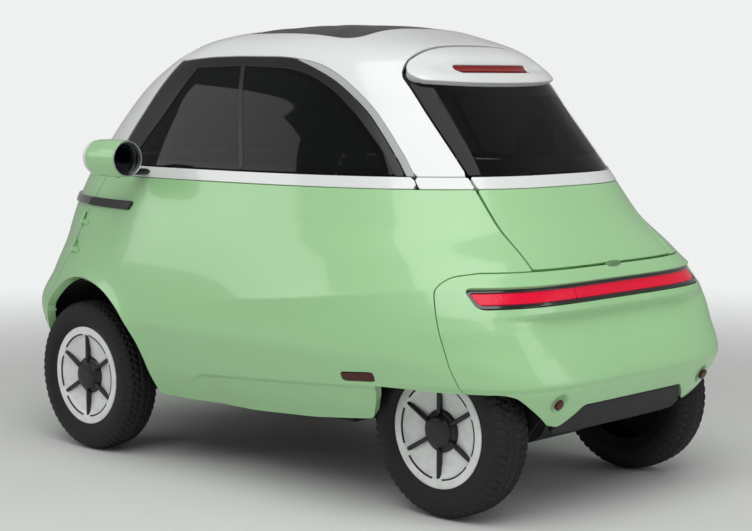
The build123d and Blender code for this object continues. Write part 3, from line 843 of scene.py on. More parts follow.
def clipped(surface: Surface, region: Region, turns: Array, places: Array) -> tuple[Array, list[Array]]:
    """The part of a surface's grid that lies in a region.

    Formula: a cell that the border crosses keeps its inside corners and gains a point on each crossed
    side, where halving the side over and over finds the border.

    Args:
        surface: the surface.
        region: what is kept.
        turns: the grid's first parameters.
        places: its second ones.

    Returns:
        The parameters of the kept points, and the faces by number of corners.
    """
    u, v = np.meshgrid(turns, places, indexing="ij")
    inside = region.depth(surface(u, v)) > 0
    whole_turn = abs(turns[-1] - turns[0] - 2 * np.pi) < 1e-9
    count = u.size
    numbers = np.arange(count).reshape(u.shape)
    if whole_turn:
        inside[-1], numbers[-1] = inside[0], numbers[0]
    over_u, over_v = inside[:-1] != inside[1:], inside[:, :-1] != inside[:, 1:]
    on_u, on_v = np.full(over_u.shape, -1), np.full(over_v.shape, -1)
    on_u[over_u] = count + np.arange(over_u.sum())
    on_v[over_v] = count + over_u.sum() + np.arange(over_v.sum())
    if whole_turn:
        on_v[-1] = on_v[0]
    flat = np.stack([u, v], -1)
    first = np.concatenate([flat[:-1][over_u], flat[:, :-1][over_v]])
    second = np.concatenate([flat[1:][over_u], flat[:, 1:][over_v]])
    first_in = np.concatenate([inside[:-1][over_u], inside[:, :-1][over_v]])[:, None]
    kept, lost = np.where(first_in, first, second), np.where(first_in, second, first)
    for _ in range(HALVINGS):
        middle = (kept + lost) / 2
        good = (region.depth(surface(middle[:, 0], middle[:, 1])) > 0)[:, None]
        kept, lost = np.where(good, middle, kept), np.where(good, lost, middle)
    corner = cell_corners(numbers)
    edge = np.stack([on_u[:, :-1], on_v[1:], on_u[:, 1:], on_v[:-1]], -1).reshape(-1, 4)
    code = (inside.ravel()[corner] * np.array([1, 2, 4, 8])).sum(1)
    faces = []
    for case in range(1, 16):
        chosen, walk = code == case, cell_walk(case)
        if chosen.any():
            faces.append(np.stack([(edge if side else corner)[chosen, k] for k, side in walk], 1))
    params = np.concatenate([flat.reshape(-1, 2), kept])
    used, faces = packed_numbers(faces)
    return params[used], faces


def packed_numbers(faces: Sequence[Array]) -> tuple[Array, list[Array]]:
    """Renumbers faces after dropping unused points: the points kept, and the faces."""
    used, back = np.unique(np.concatenate([block.ravel() for block in faces]), return_inverse=True)
    cuts = np.cumsum([block.size for block in faces])[:-1]
    return used, [part.reshape(block.shape) for part, block in zip(np.split(back, cuts), faces)]


def border_of(faces: Sequence[Array]) -> Array:
    """The directed sides that only one face has."""
    sides = np.concatenate([np.stack([block, np.roll(block, -1, 1)], -1).reshape(-1, 2) for block in faces])
    key = np.sort(sides, 1)
    _, first, times = np.unique(key, axis=0, return_index=True, return_counts=True)
    return sides[first[times == 1]]


@dataclass(frozen=True)
class Panel:
    """A pressed panel: a region of a surface, with round edges, a return wall and a lining."""

    surface: Surface
    region: Region
    turns: tuple[float, float]
    places: tuple[float, float]
    grid: tuple[int, int]
    edge: float = 4.0
    wall: float = 26.0

    def build(self, name: str, finishes: Sequence[Finish], edge_steps: int = 3) -> bpy.types.Object:
        """Builds the panel as a closed mesh.

        Formula: the surface is kept up to an edge's radius from the border; rows of points then turn
        through a quarter circle from the surface's normal to the direction out over the border, go
        straight in by the wall, and meet the same surface moved in by radius and wall.

        Args:
            name: the piece's name.
            finishes: outside, and the lining where it differs.
            edge_steps: rows round the edge.

        Returns:
            The object, with each point's distance from the border in its edge attribute.
        """
        radius, wall = self.edge * MM, self.wall * MM
        turns, places = np.linspace(*self.turns, self.grid[0]), np.linspace(*self.places, self.grid[1])
        params, faces = clipped(self.surface, self.region.moved(radius), turns, places)
        points = self.surface(params[:, 0], params[:, 1])
        normal = normals_of(self.surface, params[:, 0], params[:, 1])
        sides = border_of(faces)
        rim, back = np.unique(sides, return_inverse=True)
        sides = back.reshape(sides.shape)
        tiny = 2e-4
        slope = np.stack([self.region.depth(points[rim] + step) - self.region.depth(points[rim] - step)
                          for step in np.eye(3) * tiny], -1)
        out = -(slope - (slope * normal[rim]).sum(1, keepdims=True) * normal[rim])
        out /= np.maximum(np.linalg.norm(out, axis=1, keepdims=True), 1e-9)
        angle = np.linspace(0, np.pi / 2, edge_steps + 1)[1:, None, None]
        ring = points[rim] + radius * (np.sin(angle) * out - (1 - np.cos(angle)) * normal[rim])
        ring_normal = np.sin(angle) * out + np.cos(angle) * normal[rim]
        foot = ring[-1:] - wall * normal[rim]
        row_normal = np.concatenate([normal[rim][None], ring_normal, ring_normal[-1:]])
        count, width = len(points), len(rim)
        inner = points - (radius + wall) * normal
        all_points = np.concatenate([points, inner, ring.reshape(-1, 3), foot.reshape(-1, 3)])
        added = np.arange((edge_steps + 1) * width).reshape(-1, width)
        numbers = np.concatenate([rim[None], 2 * count + added])
        b, a = sides.T

        def band(low: Array, high: Array) -> Array:
            """What belongs to the four corners of each face between two rows of the rim."""
            return np.stack([low[a], low[b], high[b], high[a]], 1)
        strips = [band(numbers[k], numbers[k + 1]) for k in range(edge_steps + 1)]
        strip_normals = [band(row_normal[k], row_normal[k + 1]).reshape(-1, 3) for k in range(edge_steps + 1)]
        lip = band(numbers[-1], rim + count)
        lip_normal = band(-normal[rim], -normal[rim]).reshape(-1, 3)
        under = [block[:, ::-1] + count for block in faces]
        blocks = [*faces, *strips, lip, *under]
        corner_normals = [normal[block.ravel()] for block in faces] + strip_normals + [lip_normal]
        corner_normals += [-normal[block.ravel() - count] for block in under]
        which = [0] * (len(faces) + len(strips)) + [len(finishes) - 1] * (1 + len(under))
        made = as_object(name, all_points, blocks, finishes, which, np.concatenate(corner_normals))
        depth = self.region.depth(all_points)
        attribute = made.data.attributes.new("edge", "FLOAT", "POINT")
        attribute.data.foreach_set("value", depth.astype(np.float32))
        return made

    def fit(self, name: str, finishes: Sequence[Finish], body: Body, slot: str, nodes: Sequence[str] = (),
            edge_steps: int = 3) -> None:
        """Builds the panel and fits it to the car, as build and put_on say."""
        put_on(self.build(name, finishes, edge_steps), body, nodes)


# ---------------------------------------------------------------- shared lines of the body
SKIN = Skin()
BELT = 985.0
SEAM = 6.0
PROUD, BAR_FACE = raised(SKIN.at, 1.5), raised(SKIN.at, 9.0)
DOME_TOP_FROM = 1320.0


def roof_surface(along: Array, across: Array) -> Array:
    """The roof as a height over the plan, for the part that holds the dome's top.

    Formula: halving a range of heights finds the one whose section passes through the place.

    Args:
        along: x in metres.
        across: y in millimetres.

    Returns:
        Points in metres.
    """
    along, across = np.broadcast_arrays(along, across)
    x, y = along.ravel() / MM, across.ravel()
    knots = SKIN.knots()
    table = np.array(SKIN.rows)
    low, high = np.full(x.shape, DOME_TOP_FROM), np.full(x.shape, knots[-1])
    for _ in range(DOME_HALVINGS):
        middle = (low + high) / 2
        _, front, wide, rear, half, front_n, rear_n = flowing(knots, table, middle).T
        share = np.where(x > wide, (x - wide) / (front - wide), (wide - x) / (wide - rear))
        power = np.where(x > wide, front_n, rear_n)
        within = np.abs(share) ** power + np.abs(y / half) ** power < 1
        low, high = np.where(within, middle, low), np.where(within, high, middle)
    height = flowing(knots, table, low)[:, 0].reshape(along.shape)
    return np.stack([along, across * MM, height * MM], -1)


def door_side(gap: float = 0.0) -> Region:
    """Ahead of the front door's seam, a gap in from it."""
    return half_space((0.644, 0, 0.959), (1, 0, 0.63)).moved(gap * MM)


def bumper_side(gap: float = 0.0) -> Region:
    """Behind the rear bumper's seam, a gap in from it."""
    return half_space((-0.943, 0, 0.718), (-1, 0, 0.39)).moved(gap * MM)


def bar_region(points: Sequence[Sequence[float]], axes: tuple[int, int],
               radii: float | Sequence[float]) -> Region:
    """The inside of an outline in millimetres, its corners rounded."""
    return outline(soften(points, radii), axes)


HATCH_PIN = (-500.0, 1384.0)


def round_pin(radius: float) -> Region:
    """Outside a cylinder about the hatch's hinge, or ahead of it."""
    def depth(p: Array) -> Array:
        """Distance outside the cylinder."""
        return np.hypot(p[..., 0] - HATCH_PIN[0] * MM, p[..., 2] - HATCH_PIN[1] * MM) - radius * MM
    return Region(depth)


def hatch_zone(gap: float) -> Region:
    """The hatch's opening grown by a gap, its corners rounded."""
    behind = half_space((HATCH_PIN[0] * MM, 0, 0), (-1, 0, 0))
    zone = within_y(352 + gap).meet(above(758 - gap), 0.006 + gap * MM)
    return zone.meet(round_pin(70 - gap) & behind, 0.05)


ARCH = bar_region([(1040, 200), (1001, 336), (912, 458), (858, 542), (781, 604), (632, 634), (470, 596),
                   (356, 516), (312, 400), (322, 300), (322, 200)], (0, 2), 900)
SKIRT = bar_region([(-40, 150), (-116, 237), (-424, 257), (-691, 289), (-742, 356), (-768, 411), (-1500, 413),
                    (-1500, 150)], (0, 2), (1, 1, 600, 45, 90, 25, 1, 1))
WINDOW_TOP = [(700, 1372), (345, 1382), (200, 1392), (65, 1394), (-173, 1390), (-320, 1367), (-430, 1316),
              (-540, 1236), (-622, 1152), (-690, 1078), (-736, 1021.5)]
WINDOW_RADII = (1, 1, 60, *[900] * 7, 300)
OPENING = bar_region([(700, 1021.5), *WINDOW_TOP], (0, 2), (*WINDOW_RADII, 2))
ARC = bar_region([(700, 800), *WINDOW_TOP, (-860, 800)], (0, 2), (*WINDOW_RADII, 300, 1))
PANE = bar_region([(490, 1027), (444, 1087), (352, 1205), (253, 1355), (37, 1361), (-200, 1351), (-305, 1325),
                   (-400, 1280), (-510, 1196), (-616, 1096), (-672, 1027)], (0, 2),
                  (3, 400, 400, 10, *[900] * 5, 300, 4))
DIVIDER = outline(np.array([(46, 1380), (28, 1380), (-121, 1010), (-101, 1010)]), (0, 2))
SCREEN = bar_region([(505, 1036), (388, 1398), (-388, 1398), (-505, 1036)], (1, 2), 60)
SUNROOF = bar_region([(200, -335), (200, 335), (-345, 335), (-345, -335)], (0, 1), 70)
LEFT_EDGE = [(900, 413), (545, 413), (512, 402), (371, 303), (322, 290), (286, 322), (250, 355)]
EDGE_RADII = (1, 60, 60, 30, 30, 30, 40)
RIGHT_EDGE = [(-y, z) for y, z in LEFT_EDGE[::-1]]
BUMPER_EDGE = bar_region([*LEFT_EDGE, *RIGHT_EDGE, (-900, 100), (900, 100)], (1, 2),
                         (*EDGE_RADII, *EDGE_RADII[::-1], 1, 1))


def bumper_unit(gap: float) -> Region:
    """The rear bumper unit as seen from the side and above, its upper corner rounded, a gap in."""
    top = half_space((-1.0, 0, 0.7485 - gap * MM), (-0.18, 0, -1))
    return bumper_side(gap).meet(top & below(753.0 - gap), 0.05)


MARKER = bar_region([(-776, 426), (-648, 415), (-648, 440), (-778, 452)], (0, 2), 8)
CREASE, CREASE_FROM, CREASE_FALL = 0.013, (-0.97, 0.706), 0.11
LOW_CREASE, LOW_CREASE_HEIGHT = 0.007, 0.430
LEDGE = 0.026
ARCH_LIP, ARCH_LIP_WIDTH = 0.008, 0.022
HOLLOW, HOLLOW_PLACE, HOLLOW_RADII = 0.015, (0.368, 0.372), (0.018, 0.031)
FRONT_INSET = 0.0007
SILL_TUCK = 0.010
LEFT, RIGHT, ROUND = (0.12, 2.85), (-2.85, -0.12), (-math.pi, math.pi)
WINDOW_PLACES, LAMP_PLACES, BAR_PLACES = (1000, 1500), (640, 724), (860, 920)


def tail_turns(half: float) -> tuple[float, float]:
    """Turns to both sides of straight back."""
    return math.pi - half, math.pi + half


def ease(value: Array, low: float, high: float) -> Array:
    """Rises smoothly from nought at low to one at high."""
    share = np.clip((value - low) / (high - low), 0, 1)
    return share * share * (3 - 2 * share)


def crest(distance: Array, width: float, edge: float) -> Array:
    """One on a line, falling away on both sides, with a soft edge on the line itself."""
    return np.exp(-(np.hypot(distance, edge) - edge) / width)


def pressing(p: Array) -> Array:
    """How far the green panels stand out from the plain skin.

    Formula: a crease runs forward from the tail lamp at a falling height and fades before the door; a
    sharper one runs round the tail low down; the front arches have a flared lip that fades with the
    distance from the opening; under the lamp the tail steps in and comes back out further down; and two
    round hollows hold the reflectors.

    Args:
        p: points of the plain skin in metres.

    Returns:
        The lift at each point, in metres.
    """
    x, y, z = p[..., 0], np.abs(p[..., 1]), p[..., 2]
    line = CREASE_FROM[1] - CREASE_FALL * np.clip(x - CREASE_FROM[0], 0, 2)
    lift = CREASE * crest(z - line, 0.06, 0.003) * ease(-x, -0.10, 0.62) * (z < 0.985)
    tail = ease(-x, 0.86, 1.0)
    low = z - LOW_CREASE_HEIGHT
    sunk = crest(low, 0.035, 0.002) - 1 - 0.45 * crest(low + 0.013, 0.006, 0.002)
    lift = lift + LOW_CREASE * sunk * tail * (1 - ease(z, 0.52, 0.60))
    step = ease(-z, -0.634, -0.616) * (1 - ease(-z, -0.614, -0.50))
    lift = lift - LEDGE * step * tail * ease(-y, -0.56, -0.30)
    lip = np.where(x > 0.1, np.clip(-ARCH.depth(p), 0, 1), 1)
    lift = lift + ARCH_LIP * np.exp(-lip / ARCH_LIP_WIDTH)
    hollow = 1 - ease(np.hypot(y - HOLLOW_PLACE[0], z - HOLLOW_PLACE[1]), *HOLLOW_RADII)
    return lift - HOLLOW * hollow * tail - FRONT_INSET * ease(x, 0.9, 1.1)


def pressed(turn: Array, place: Array) -> Array:
    """The green panels' surface.

    Formula: the skin with its pressings; under a line over the sill it moves in level towards the middle,
    by a step at the line and more on the way down, between the front arch and the tail.

    Args:
        turn: angle from straight ahead to the car's left, in radians.
        place: the height, in millimetres.

    Returns:
        Points in metres.
    """
    points = lifted(SKIN.at, pressing)(turn, place)
    x, y, z = points[..., 0], points[..., 1], points[..., 2]
    sill = 0.351 - 0.074 * np.clip(x - 0.012, -0.9, 0) - 0.45 * np.clip(x - 0.04, 0, 0.2)
    tuck = ease(sill - z, -0.002, 0.012) * SILL_TUCK + ease(sill - z, 0, 0.12) * SILL_TUCK
    tuck = tuck * (1 - ease(-x, 0.86, 1.0)) * ease(-x, -0.21, -0.03)
    return np.stack([x, y - np.sign(y) * tuck, z], -1)


SIDES = (("left", LEFT), ("right", RIGHT))


# ---------------------------------------------------------------- fixed body
@dataclass
class BodyShell:
    """The fixed sides, roof, window frames and sills."""

    sill: float = 238.0
    cells: tuple[int, int] = (260, 84)
    trim_depth: float = 3.0
    half_seam: float = 0.0006

    def side_region(self) -> Region:
        """The green side: behind the door, under the belt, clear of wheels, hatch and bumper."""
        body = above(self.sill).meet(-door_side(), 0.012) & below(BELT - 1.0)
        body = body.meet(-ARCH, 0.02)
        body = body - hatch_zone(SEAM) - bumper_unit(-0.9) - MARKER.moved(-0.0025)
        return body - SKIRT

    def build_side(self, side: str, turns: tuple[float, float]) -> None:
        """One green side with its lining."""
        panel = Panel(pressed, self.side_region(), turns, (236, 990), self.cells, edge=2.0, wall=28.0)
        name = f"body_side_{side}"
        panel.fit(f"{name}_skin", (Finish.BODY, Finish.LINING), Body.SHELL, "body_paint", [name])

    def build_roof(self) -> None:
        """The white roof with its pillars, and the strip under the windows with a fine seam round it."""
        region = above(BELT + 1.0) & -door_side() & -OPENING & -SUNROOF.moved(-0.003) & -hatch_zone(SEAM)
        strip = below(1021.5) & half_space((-0.7415, 0, 1.0085), (-0.792, 0, 0.611))
        upper = region - strip.moved(-self.half_seam)
        panel = Panel(PROUD, upper, ROUND, (975, 1800), (500, 70), edge=2.0, wall=26.0)
        panel.fit("roof_skin", (Finish.ROOF, Finish.LINING), Body.SHELL, "roof_paint", ["roof_shell"])
        lower = region & strip.moved(self.half_seam)
        lower = Panel(PROUD, lower, ROUND, (978, 1026), (900, 8), edge=2.0, wall=26.0)
        lower.fit("roof_strip", (Finish.ROOF, Finish.LINING), Body.SHELL, "roof_paint")

    def build_frame(self, side: str, turns: tuple[float, float]) -> None:
        """The black frame round a side window, its front post and the bar between its panes."""
        deep = raised(SKIN.at, -self.trim_depth)

        def reveal_depth(p: Array) -> Array:
            """Depth inside the opening past the pale band of painted shade, which runs up the rear curve only.
            """
            width = 0.0015 + 0.020 * ease(-p[..., 0], 0.16, 0.34)
            return np.minimum(OPENING.depth(p) - 0.0015, ARC.depth(p) - width)
        reveal = Region(reveal_depth)
        region = (reveal & above(1019) & -door_side(3)) - PANE
        painted_shade_band_region = (OPENING.moved(0.0015) & above(1021) & half_space((-0.19, 0, 0), (-1, 0, 0))) - reveal
        slope = lifted(SKIN.at, lambda p: -0.001 - 0.25 * np.clip(ARC.depth(p), 0, 0.02))
        # Painted shade: this band is the white reveal, painted grey for the shade on its return face.
        band = Panel(slope, painted_shade_band_region, turns, WINDOW_PLACES, (520, 120), edge=1.2, wall=14.0)
        band.fit(f"window_band_{side}", (Finish.SHADED_REVEAL,), Body.SHELL, "roof_paint", edge_steps=2)
        black = Panel(deep, region, turns, WINDOW_PLACES, (260, 62), edge=2.0, wall=18.0)
        black.fit(f"window_frame_{side}", (Finish.SATIN, Finish.LINING), Body.SHELL, "black_plastic",
                        edge_steps=2)
        deeper = raised(SKIN.at, -self.trim_depth - 0.5)
        divider = DIVIDER & OPENING.moved(0.004)
        bar = Panel(deeper, divider, turns, WINDOW_PLACES, (420, 40), edge=2.5, wall=6.0)
        bar.fit(f"window_bar_{side}", (Finish.SATIN,), Body.SHELL, "black_plastic", edge_steps=2)

    def build_markers(self) -> None:
        """The small red lamps low on each side."""
        for side, turns in SIDES:
            lamp = Panel(raised(SKIN.at, -2.0), MARKER, turns, (400, 460), (900, 30), edge=2.0, wall=4.0)
            lamp.fit(f"side_marker_{side}", (Finish.RED,), Body.SHELL, "lamp_red", edge_steps=2)

    def build_panes(self) -> None:
        """Both side windows, one piece each."""
        deep = raised(SKIN.at, -6.0)
        for side, turns in SIDES:
            pane = Panel(deep, PANE.moved(-0.002), turns, WINDOW_PLACES, (240, 44), edge=1.2, wall=3.0)
            pane.fit(f"side_pane_{side}", (Finish.GLASS,), Body.SHELL, "glass", ["side_glass"], edge_steps=2)

    def build_sunroof(self) -> None:
        """The dark folding panel in the roof, with shallow folds across it."""
        def folds(p: Array) -> Array:
            """A low wave along the car."""
            return 0.0012 * np.cos(p[..., 0] * 2 * np.pi / 0.11) - 0.0018
        surface = lifted(roof_surface, folds)
        panel = Panel(surface, SUNROOF, (-0.36, 0.215), (-350, 350), (96, 64), edge=5.0, wall=18.0)
        panel.fit("sunroof_cloth", (Finish.CANVAS, Finish.LINING), Body.SHELL, "canvas", ["sunroof_panel"])

    def build(self) -> None:
        """Builds the whole fixed body."""
        for side, turns in SIDES:
            self.build_side(side, turns)
            self.build_frame(side, turns)
        self.build_roof()
        self.build_markers()
        self.build_panes()
        self.build_sunroof()


# ---------------------------------------------------------------- front door
@dataclass
class FrontDoor:
    """The whole nose, which swings open: green skin, white frame and windshield."""

    gap: float = SEAM
    bottom: float = 441.0

    def build(self) -> None:
        """Builds the door's skins and glass, and the fixed bumper under it."""
        ahead = door_side(self.gap)
        lower = ahead.meet(above(self.bottom), 0.02) & below(BELT - 1.0)
        skin = Panel(pressed, lower - ARCH, (-1.3, 1.3), (430, 990), (190, 48), edge=2.5, wall=27.5)
        skin.fit("front_door_skin", (Finish.BODY, Finish.LINING), Body.DOOR, "body_paint", ["front_door"])
        upper = (ahead & above(BELT + 1.0)) - SCREEN
        upper = Panel(PROUD, upper, (-1.4, 1.4), (975, 1700), (240, 74), edge=2.5, wall=23.5)
        upper.fit("front_door_frame", (Finish.ROOF, Finish.LINING), Body.DOOR, "roof_paint")
        glass = SCREEN.moved(0.001) & ahead
        glass = Panel(raised(SKIN.at, -4.0), glass, (-1.2, 1.2), (1010, 1500), (120, 50), edge=1.2, wall=3.0)
        glass.fit("windshield_pane", (Finish.CLEAR,), Body.DOOR, "glass", ["windshield"], edge_steps=2)
        low = ahead.moved(-self.gap * MM).meet(above(238), 0.02) & below(self.bottom - SEAM - 1)
        bumper = Panel(pressed, low - ARCH, (-1.3, 1.3), (236, 440), (240, 24), edge=4.0, wall=26.0)
        bumper.fit("front_bumper_skin", (Finish.BODY, Finish.LINER), Body.SHELL, "body_paint",
                   ["front_bumper"])


# ---------------------------------------------------------------- hatch
@dataclass
class Hatch:
    """The rear hatch: green lid, white strip, glass and the lip over it."""

    def build(self) -> None:
        """Builds the hatch's skins and glass."""
        zone = hatch_zone(0)
        turns = tail_turns(0.8)
        lid = Panel(pressed, zone & below(BELT - 1.0), turns, (745, 990), (150, 40), edge=2.0, wall=26.0)
        lid.fit("hatch_lid", (Finish.BODY, Finish.LINING), Body.HATCH, "body_paint", ["hatch"])
        strip = zone & above(BELT + 1.0) & below(1022)
        strip = Panel(PROUD, strip, turns, (975, 1040), (150, 12), edge=2.0, wall=24.0)
        strip.fit("hatch_strip", (Finish.ROOF, Finish.LINING), Body.HATCH, "roof_paint")
        glass = zone.moved(0.001) & above(1025) & below(1306)
        pane = Panel(raised(SKIN.at, -2.0), glass, turns, (1000, 1330), (90, 32), edge=2.0, wall=3.0)
        pane.fit("rear_pane", (Finish.REAR_GLASS,), Body.HATCH, "glass", ["rear_glass"], edge_steps=2)

        def lip(p: Array) -> Array:
            """Stands the lip's lower edge out, with a long hollow over it for the lamp."""
            y, z = np.abs(p[..., 1]), p[..., 2]
            hollow = np.exp(-((z - 1.352) / 0.019) ** 2) * (1 - ease(y, 0.20, 0.30))
            return 0.0015 + 0.017 * (1 - ease(z, 1.315, 1.39)) - 0.014 * hollow
        shaped = lifted(SKIN.at, lip)
        lamp = bar_region([(177, 1341.5), (177, 1358.5), (-177, 1358.5), (-177, 1341.5)], (1, 2), 8.4)
        lamp = lamp & half_space((-0.5, 0, 0), (-1, 0, 0))
        edge = Region(lambda p: p[..., 2] - 1.304 - 0.09 * p[..., 1] ** 2)
        cover = zone.meet(edge, 0.035) - lamp.moved(-0.002)
        top = Panel(shaped, cover, turns, (1296, 1560), (300, 72), edge=4.0, wall=25.0)
        near = tail_turns(0.35)
        lens = Panel(raised(shaped, -1.5), lamp, near, (1334, 1366), (200, 14), edge=1.5, wall=5.0)
        lens.fit("brake_lamp_lens", (Finish.BRAKE,), Body.HATCH, "lamp_red", ["high_brake_lamp"],
                 edge_steps=2)
        piece = top.build("hatch_lip", (Finish.ROOF, Finish.LINING))
        self.clear_hinge(piece)
        put_on(piece, Body.HATCH)
        self.build_pull()

    def clear_hinge(self, piece: bpy.types.Object, radius: float = 69.0) -> None:
        """Pushes a piece's inner points out to a cylinder about the hinge, which leaves it room to swing.

        Args:
            piece: the piece, changed in place.
            radius: the cylinder's, in millimetres.
        """
        flat = np.empty(len(piece.data.vertices) * 3)
        piece.data.vertices.foreach_get("co", flat)
        points = flat.reshape(-1, 3)
        pin = np.array(HATCH_PIN) * MM
        away = points[:, ::2] - pin
        reach = np.linalg.norm(away, axis=1, keepdims=True)
        points[:, ::2] = pin + away * np.maximum(1, radius * MM / np.maximum(reach, 1e-6))
        piece.data.vertices.foreach_set("co", flat)
        piece.data.update()

    def build_pull(self) -> None:
        """The small rounded pull under the hatch's lower edge, body green painted darker as painted shade."""
        turn = once_round(40)[:, None]
        rise = np.linspace(-np.pi / 2, np.pi / 2, 19)[None, :]
        middle = SKIN.at(np.array([math.pi]), np.array([748.0]))[0]
        points = np.stack([middle[0] - 0.002 + 0.010 * np.cos(turn) * np.cos(rise),
                           0.040 * np.sin(turn) * np.cos(rise) ** 0.6,
                           middle[2] + 0.002 + 0.012 * np.sin(rise) * np.ones_like(turn)], -1)
        piece = solid("hatch_pull", (points, grid_faces(40, 19, wrap_rows=True)), Finish.SHADED_PULL)
        put_on(piece, Body.HATCH)


# ---------------------------------------------------------------- rear bumper
@dataclass
class RearBumper:
    """The bumper unit: its skin with the lamp's recess, the diffuser and the small round lamps."""

    casing: tuple[float, float, float] = (654.0, 714.0, 566.0)
    lens: tuple[float, float, float] = (666.0, 698.5, 552.0)

    def slot(self, ends: tuple[float, float, float], gap: float) -> Region:
        """A long slot of that bottom, top and half width, its ends rounded, grown by a gap."""
        low, high, half = ends[0] - gap, ends[1] + gap, ends[2] + gap
        round_by = (high - low) * 0.34
        shape = bar_region([(half, high), (half - 6, low), (-half + 6, low), (-half, high)], (1, 2), round_by)
        return shape & half_space((-0.96, 0, 0), (-1, 0, 0))

    def build(self) -> None:
        """Builds the bumper, its lamp and the diffuser."""
        turns = tail_turns(1.35)
        zone = bumper_unit(0.9) - BUMPER_EDGE - self.slot(self.casing, 0)
        skin = Panel(pressed, zone, turns, (236, 764), (300, 100), edge=2.0, wall=27.0)
        skin.fit("rear_bumper_skin", (Finish.BODY, Finish.LINER), Body.SHELL, "body_paint", ["rear_bumper"])
        ring = self.slot(self.casing, -1.0) - self.slot(self.lens, 0)
        black = Panel(raised(SKIN.at, 2.0), ring, turns, LAMP_PLACES, (400, 44), edge=2.5, wall=10.0)
        black.fit("tail_lamp_frame", (Finish.GLOSS,), Body.SHELL, "black_plastic", edge_steps=2)
        gaps = [Region(lambda p, at=place: 0.0012 - np.abs(p[..., 1] - at)) for place in (0.212, -0.39)]
        glow = self.slot(self.lens, 0.5) - gaps[0] - gaps[1]
        lens = Panel(raised(SKIN.at, -2.5), glow, turns, LAMP_PLACES, (400, 26), edge=2.0, wall=3.0)
        lens.fit("tail_lamp_lens", (Finish.TAIL,), Body.SHELL, "lamp_red", ["tail_lamp"])
        slot = self.slot(self.casing, -3)
        back = Panel(raised(SKIN.at, -6.0), slot, turns, LAMP_PLACES, (150, 14), edge=1.0, wall=3.0)
        back.fit("tail_lamp_back", (Finish.GLOSS,), Body.SHELL, "black_plastic")
        self.build_reflectors()
        low = within_y(330).meet(above(262), 0.03).meet(BUMPER_EDGE.moved(0.003), 0.02)
        low = low & half_space((-0.9, 0, 0), (-1, 0, 0))
        under = Panel(raised(SKIN.at, -12.0), low, turns, (240, 400), (200, 40), edge=4.0, wall=14.0)
        under.fit("rear_diffuser_skin", (Finish.GRAINED,), Body.SHELL, "black_plastic", ["rear_diffuser"])

    def build_reflectors(self) -> None:
        """The round red reflectors, each a disc with a soft edge low in its hollow."""
        profile = soften([(-6, 0.2), (-6, 17), (1.5, 17), (3, 14), (3.5, 0.2)], (0.1, 0.6, 2, 6, 0.1), 5) * MM
        points, faces = lathe(profile, 48)
        flat = points.reshape(-1, 3)
        turn = np.full(1, math.pi - 0.31)
        spot = SKIN.at(turn, np.array([366.0]))[0]
        out = normals_of(SKIN.at, turn, np.array([366.0]))[0]
        side = np.cross(out, np.array([0.0, 0.0, 1.0]))
        side /= np.linalg.norm(side)
        up = np.cross(side, out)
        spot = spot - out * 0.0105 + np.array([0, 0.374 - spot[1], 0])
        placed = spot + flat[:, :1] * side + flat[:, 1:2] * out + flat[:, 2:] * up
        put_on(solid("rear_reflectors", both_sides((placed, faces)), Finish.RED), Body.SHELL)


